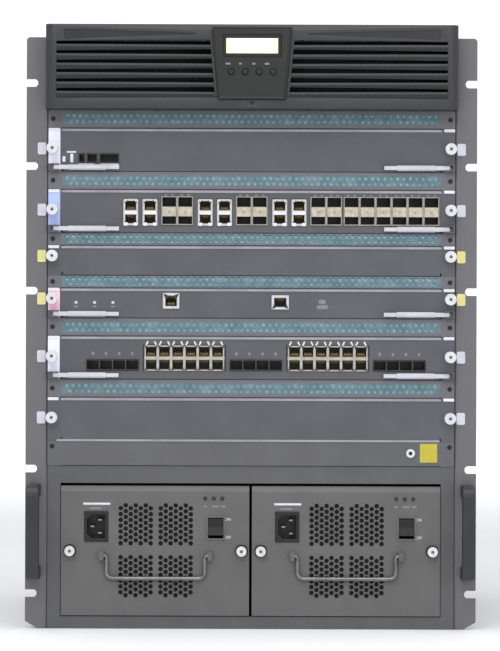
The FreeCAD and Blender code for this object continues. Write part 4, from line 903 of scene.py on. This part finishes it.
for x, rise, width, height in ((-192.6, 14.2, 3.2, 9.4), (-193.0, 20.8, 10.0, 1.8),
                               (-201.0, 13.2, 3.2, 6.0), (-177.0, 7.6, 17.0, 1.7),
                               (-152.4, 7.6, 19.6, 1.7)):
    card_tile(f"card_1_print_{round(x) + 300 + round(rise)}", 1, x, rise, width, height,
              0.5, 0.12, ink)
bpy.data.objects.remove(springs)

# %% [markdown]
# ## Plate edges
# Each plate's upper edge is folded forward and carries a spring gasket, a thin bright line that
# paints the highlight on the fold.
# Small pale tabs close the corners above the screws.

# %% Gasket line with painted highlight, and corner tabs on each plate
for slot in range(1, 7):
    level, body = plate_low[slot] + mm(plate_high[slot]), plate_body[slot]
    # The pale gasket line paints the highlight on the fold.
    tile(f"slot_{slot}_gasket_highlight", (0.0, plate_face, level - mm(2.3)), 407.0, 2.5, 0.5, 0.9,
         gasket_painted_highlight, body)
    for side, sign in SIDES:
        place = (sign * mm(211.6), plate_face - mm(0.25), level - mm(1.9))
        tile(f"slot_{slot}_corner_{side}", place, 11.6, 3.2, 0.6, 0.8, white_nylon, body)
# The service strip's upper edge gets the same painted highlight line.
tile("service_edge_highlight", (-mm(3.0), strip_face, plate_low[6] + mm(0.4)), 410.0, 2.2, 0.5, 0.9,
     gasket_painted_highlight, "chassis")

# %% [markdown]
# ## Bezel and supply details
# Behind the louvres a black sheet of painted shade hides the fan tray. The supplies carry small
# lamps, short printed lines and the words beside the rocker. The words are text turned into mesh.

# %% Painted shade behind the louvres
bezel_low, bezel_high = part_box("fan_bezel")
# A black sheet with a fine grid of cells paints the shade inside the tray, seen through the slots.
fan_shade_sheet = facing_grid("fan_painted_shade_sheet", 60, 8, mm(424), mm(56), (0.0, bezel_high.y - mm(0.6), mm(601)))
pick(fan_shade_sheet, "FACE")
bpy.ops.mesh.inset(thickness=mm(0.8), depth=-mm(0.5), use_individual=True)
thicken(fan_shade_sheet, mm(0.6), 1.0)
dressed(fan_shade_sheet, "fan_painted_shade_sheet", "fan_tray", shade_black)
print("dust screen faces", len(fan_shade_sheet.data.polygons))

# %% Louvre blades
# A blade has an upright lip on top and leans back below it, so its lower half is in shade. The lip
# is painted paler as a highlight and the leaning part darker as shade. Each part is a narrow grid
# whose rows are laid on the bezel's bow by a formula.
bow_radius = mm(3118)
louvre_first, louvre_pitch, louvre_outer_x = bezel_low.z + mm(19.9), mm(10.0), mm(208.0)
display_low, display_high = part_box("display_panel")
display_half = (mm(35.5), mm(42.4))
display_slope = (display_half[1] - display_half[0]) / (display_high.z - display_low.z)
blade_lip, blade_proud = mm(2.5), mm(1.5)


def bow_y(x):
    return bezel_low.y + bow_radius - math.sqrt(bow_radius ** 2 - x ** 2)


def blade(name, low_slot, part, material):
    """The lip or the leaning part between two slots, on the right; low_slot counts from below."""
    rows = {"lip": (0, 1, 2), "lean": (2, 3)}[part]
    piece = facing_grid(name, 24, len(rows) - 1, 1.0, 1.0, (0.5, 0.0, 0.5))
    below = louvre_first + low_slot * louvre_pitch
    middle = below + louvre_pitch / 2
    inner = display_half[0] + (middle - display_low.z) * display_slope + mm(4.4)
    for vertex in piece.data.vertices:
        row = rows[len(rows) - 1 - round(vertex.co.z * (len(rows) - 1))]
        x = inner + vertex.co.x * (louvre_outer_x - inner)
        slot_half = mm(2.7) - mm(1.1) * (x - inner) / (louvre_outer_x - inner)
        top, bottom = below + louvre_pitch - slot_half, below + slot_half
        z = (top, top - mm(0.3), top - blade_lip, bottom + mm(0.2))[row]
        proud = (0.0, blade_proud, blade_proud, mm(0.1))[row]
        vertex.co = (x, bow_y(x) - proud, z)
    thicken(piece, mm(0.7))
    return dressed(piece, name, "fan_tray", material)


# Lips get the paler copy, a painted highlight; leaning parts get the darker copy, painted shade.
for row in range(-1, 5):
    for part, material in (("lip", lip_painted_highlight_plastic), ("lean", lean_painted_shade_plastic)):
        right = blade(f"blade_{part}_right_{row + 2}", row, part, material)
        name = f"blade_{part}_left_{row + 2}"
        twin(right, name, (0.0, 0.0, 0.0), "fan_tray", flip_x=True)
print("blade faces", len(right.data.polygons))

# %% Name plates and the painted shade round the screen
# A bare plate lies in each recess above the louvres, and grows taller away from the screen.
for side, sign in SIDES:
    name = "name_plate_" + side
    plate = facing_grid(name, 20, 1, 1.0, 1.0, (0.5, 0.0, 0.5))
    for vertex in plate.data.vertices:
        reach = vertex.co.x
        half = mm(0.9) + mm(4.3) * reach
        x = mm(62) + mm(137) * reach
        z = mm(634.0) + (vertex.co.z - 0.5) * 2 * half
        vertex.co = (sign * x, bow_y(x) + mm(1.1), z)
    if sign < 0:
        pick(plate, "FACE")
        bpy.ops.mesh.flip_normals()
    thicken(plate, mm(0.5), 1.0)
    dressed(plate, name, "fan_tray", plate_film)

# A black frame round the screen paints the shade of its recess.
recess_shade_frame = facing_grid("screen_recess_painted_shade", 1, 1, mm(61.4), mm(23.4),
                       (0.0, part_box("display_glass")[0].y - mm(0.2), mm(621.3)))
pick(recess_shade_frame, "FACE")
bpy.ops.mesh.inset(thickness=mm(3.0), depth=0.0)
bpy.ops.mesh.delete(type="FACE")
thicken(recess_shade_frame, mm(0.5))
dressed(recess_shade_frame, "screen_recess_painted_shade", "fan_tray", black_plastic)

# %% Printed marks under the display
for i, (x, width) in enumerate(((-25.4, 5.0), (-12.5, 3.2), (1.9, 3.4), (15.8, 5.0)), 1):
    tile(f"display_lamp_{i}", (mm(x), display_low.y, mm(602.2)), width, 2.0, 0.5, 0.12,
         faint_ink, "fan_tray")

# %% Painted shade behind the holes, inlet pins, marks, lamps and painted shadow rings round the screws of the supplies
marks = (("line_long", -62.4, 133.8, 29.0, 2.2, ink),
         ("line_short", -64.0, 128.8, 12.6, 2.0, faint_ink),
         ("dash_1", 53.7, 131.2, 3.2, 2.2, faint_ink),
         ("dash_2", 64.5, 131.2, 6.6, 2.2, faint_ink),
         ("dash_3", 72.8, 131.2, 5.2, 2.2, faint_ink))
inlet_x, inlet_z = -62.9, 109.5
for supply, shift in supplies:
    body, prefix = "psu_" + supply, f"supply_{supply}_"
    middle_x = supply_x + shift
    # A black sheet behind the punched blocks paints the shade inside the supply.
    tile(prefix + "filter", (middle_x + mm(0.7), supply_face + mm(2.4), mm(82.5)), 88, 112, 2.0,
         0.4, shade_black, body)
    for i, (dx, dz) in enumerate(((-4.0, 0.0), (4.0, 7.0), (4.0, -7.0)), 1):
        place = (middle_x + mm(inlet_x + dx), supply_face + mm(2.0), mm(inlet_z + dz))
        tile(prefix + f"pin_{i}", place, 3.8, 1.8, 0.4, 0.3, brass, body)
    for mark, dx, z, width, height, material in marks:
        tile(prefix + mark, (middle_x + mm(dx), supply_face, mm(z)), width, height, 0.5, 0.12,
             material, body)
    for i, dx in enumerate((53.7, 62.8, 71.9), 1):
        tile(prefix + f"lamp_{i}", (middle_x + mm(dx), supply_face, mm(139.7)), 4.4, 4.4,
             2.0, 0.7, smoked_lens, body)
    for side, dx in supply_screws:
        # A black disc round each screw head paints its shadow ring on the front.
        tile(prefix + "painted_shadow_ring_" + side, (middle_x + dx, supply_face, supply_screw_z), 13.6, 13.6,
             6.0, 0.6, black_steel, body)


# %% ON and OFF beside each rocker
def printed_word(name, word, height, centre, material, body):
    clear_selection()
    bpy.ops.object.text_add(location=centre, rotation=(math.radians(90), 0.0, 0.0))
    text = bpy.context.object.data
    text.body = word
    text.size = height * 1.4
    text.align_x, text.align_y = "CENTER", "CENTER"
    text.extrude = mm(0.06)
    bpy.ops.object.convert(target="MESH")
    piece = bpy.context.object
    settle(piece)
    return dressed(piece, name, body, material)


for supply, shift in supplies:
    for word, z in (("ON", 117.2), ("OFF", 98.0)):
        centre = (supply_x + shift + mm(77.6), supply_face - mm(0.06), mm(z))
        name = f"supply_{supply}_word_{word.lower()}"
        printed_word(name, word, mm(3.2), centre, ink, "psu_" + supply)

# %% [markdown]
# ## Case screws
# Low pan-head screws with a rounded rim and a driver recess hold the rear panel and the sides. The
# ground jack gets a dark disc at its mouth here too, painted shade in its bore.

# %% Low pan heads on the rear and the sides
def pan_head(name, place, turn, outward):
    clear_selection()
    bpy.ops.mesh.primitive_cylinder_add(vertices=20, radius=mm(3.6), depth=mm(1.4),
                                        end_fill_type="NGON", location=place, rotation=turn)
    head = bpy.context.object
    settle(head)
    pick(head, "FACE", lambda co, n: n.dot(outward) > 0.9)
    bpy.ops.mesh.inset(thickness=mm(0.7), depth=mm(0.3))
    bpy.ops.mesh.inset(thickness=mm(1.1), depth=0.0)
    bpy.ops.mesh.inset(thickness=mm(0.2), depth=-mm(0.9))
    clear_selection()
    return dressed(head, name, "chassis", black_steel)


jack_low, jack_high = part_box("ground_jack")
mouth = ((jack_low.x + jack_high.x) / 2, jack_low.y, (jack_low.z + jack_high.z) / 2)
# A dark disc at the jack's mouth paints the shade in its bore.
tile("ground_jack_mouth", mouth, 4.0, 4.0, 1.9, 0.1, shade_black, "chassis")
quarter = math.radians(90)
edge_x, foot_z, middle_z, top_z, edge_y = 209, 16, 325, 629, 190
first_rear = pan_head("rear_screw_1", (-mm(edge_x), cad_box[1][1] - mm(0.4), mm(foot_z)),
                      (-quarter, 0.0, 0.0), Vector((0, 1, 0)))
rear_places = [(x, z) for x in (-edge_x, 0, edge_x)
               for z in (foot_z, 118, 222, middle_z, 428, 530, top_z)
               if x or z in (foot_z, middle_z, top_z)]
for i, (x, z) in enumerate(rear_places[1:], 2):
    twin(first_rear, f"rear_screw_{i}", (mm(x + edge_x), 0.0, mm(z - foot_z)), "chassis")
side_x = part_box("chassis_body")[1].x
first_side = pan_head("side_screw_right_1", (side_x + mm(0.3), -mm(edge_y), mm(foot_z)),
                      (0.0, quarter, 0.0), Vector((1, 0, 0)))
side_places = [(y, z) for y in (-190, -95, 0, 95, 190) for z in (foot_z, middle_z, top_z)]
for i, (y, z) in enumerate(side_places, 1):
    shift = (0.0, mm(y + edge_y), mm(z - foot_z))
    if i > 1:
        twin(first_side, f"side_screw_right_{i}", shift, "chassis")
    twin(first_side, f"side_screw_left_{i}", shift, "chassis", flip_x=True)
print("rear screws", len(rear_places), "side screws", 2 * len(side_places))

# %% [markdown]
# ## Stage, light and camera
# A pale floor runs back into a curved backdrop, as in a small studio. Wide soft lights stand in
# front and above, and one behind the chassis keeps the backdrop nearly white. The camera looks
# straight at the front from well away, with a long lens, so the sides stay hidden.

# %% Floor and backdrop
# Matt paper: two near-white tones in slow patches, so that the floor gives no reflection.
paper, tree, shader, place = new_finish("pale_paper", 0.0, 0.9)
tone = ramp(tree, noise(tree, place, 400.0, 2.0), (0.3, "f1f1f1"), (0.7, "f5f5f5"))
tree.links.new(tone, shader.inputs["Base Color"])

clear_selection()
bpy.ops.mesh.primitive_plane_add(size=12.0, location=(0.0, 1.0, 0.0))
sweep = bpy.context.object
sweep.name = "paper_sweep"
bpy.ops.object.mode_set(mode="EDIT")
bpy.ops.mesh.select_all(action="DESELECT")
bpy.ops.object.mode_set(mode="OBJECT")
back_edge = 5.9
for edge in sweep.data.edges:
    edge.select = all(sweep.data.vertices[i].co.y > back_edge for i in edge.vertices)
bpy.context.tool_settings.mesh_select_mode = (False, True, False)
bpy.ops.object.mode_set(mode="EDIT")
bpy.ops.mesh.spin(steps=12, angle=math.radians(-90), center=(0.0, 7.0, 1.5), axis=(1.0, 0.0, 0.0))
bpy.ops.mesh.extrude_region_move(TRANSFORM_OT_translate={"value": (0.0, 0.0, 6.0)})
bpy.ops.object.mode_set(mode="OBJECT")
bpy.ops.object.transform_apply(location=True, rotation=True, scale=True)
bpy.ops.object.shade_smooth()
sweep.data.materials.append(paper)
print("sweep reaches", [round(v, 2) for v in sweep.dimensions])

# %% Soft lights and a near-white room
world = bpy.data.worlds.new("studio_room")
bpy.context.scene.world = world
world.use_nodes = True
room = world.node_tree.nodes["Background"].inputs
room["Color"].default_value = (0.93, 0.95, 1.0, 1.0)
room["Strength"].default_value = 0.62


def soft_light(name, place, aim, size, watts):
    data = bpy.data.lights.new(name, "AREA")
    data.shape = "RECTANGLE"
    data.size, data.size_y = size
    data.energy = watts
    lamp = bpy.data.objects.new(name, data)
    bpy.context.scene.collection.objects.link(lamp)
    lamp.location = place
    lamp.rotation_euler = (Vector(aim) - Vector(place)).to_track_quat("-Z", "Y").to_euler()
    print("light", name, watts, "W")


chassis_middle = (0.0, 0.0, 0.45)
soft_light("front_box", (-0.7, -3.2, 2.6), chassis_middle, (2.4, 1.6), 50.0)
soft_light("front_fill", (1.8, -3.0, 1.3), chassis_middle, (1.6, 1.6), 18.0)
soft_light("top_box", (0.0, -0.7, 2.6), (0.0, 0.0, 0.3), (2.4, 2.0), 34.0)
soft_light("backdrop_box", (0.0, 3.4, 3.6), (0.0, 8.4, 0.6), (6.0, 2.0), 200.0)

# %% Camera
camera_data = bpy.data.cameras.new("front_camera")
camera_data.sensor_width = 36.0
camera_data.lens = 180.8  # a long lens, so that near and far edges line up
camera = bpy.data.objects.new("front_camera", camera_data)
bpy.context.scene.collection.objects.link(camera)
camera.location = (-0.0013, -3.722, 0.325)
level, roll = math.radians(90.0), math.radians(-0.2)
camera.rotation_euler = (level, roll, 0.0)
bpy.context.scene.camera = camera
bpy.context.scene.view_settings.view_transform = "Standard"
print("camera at", tuple(round(v, 3) for v in camera.location))
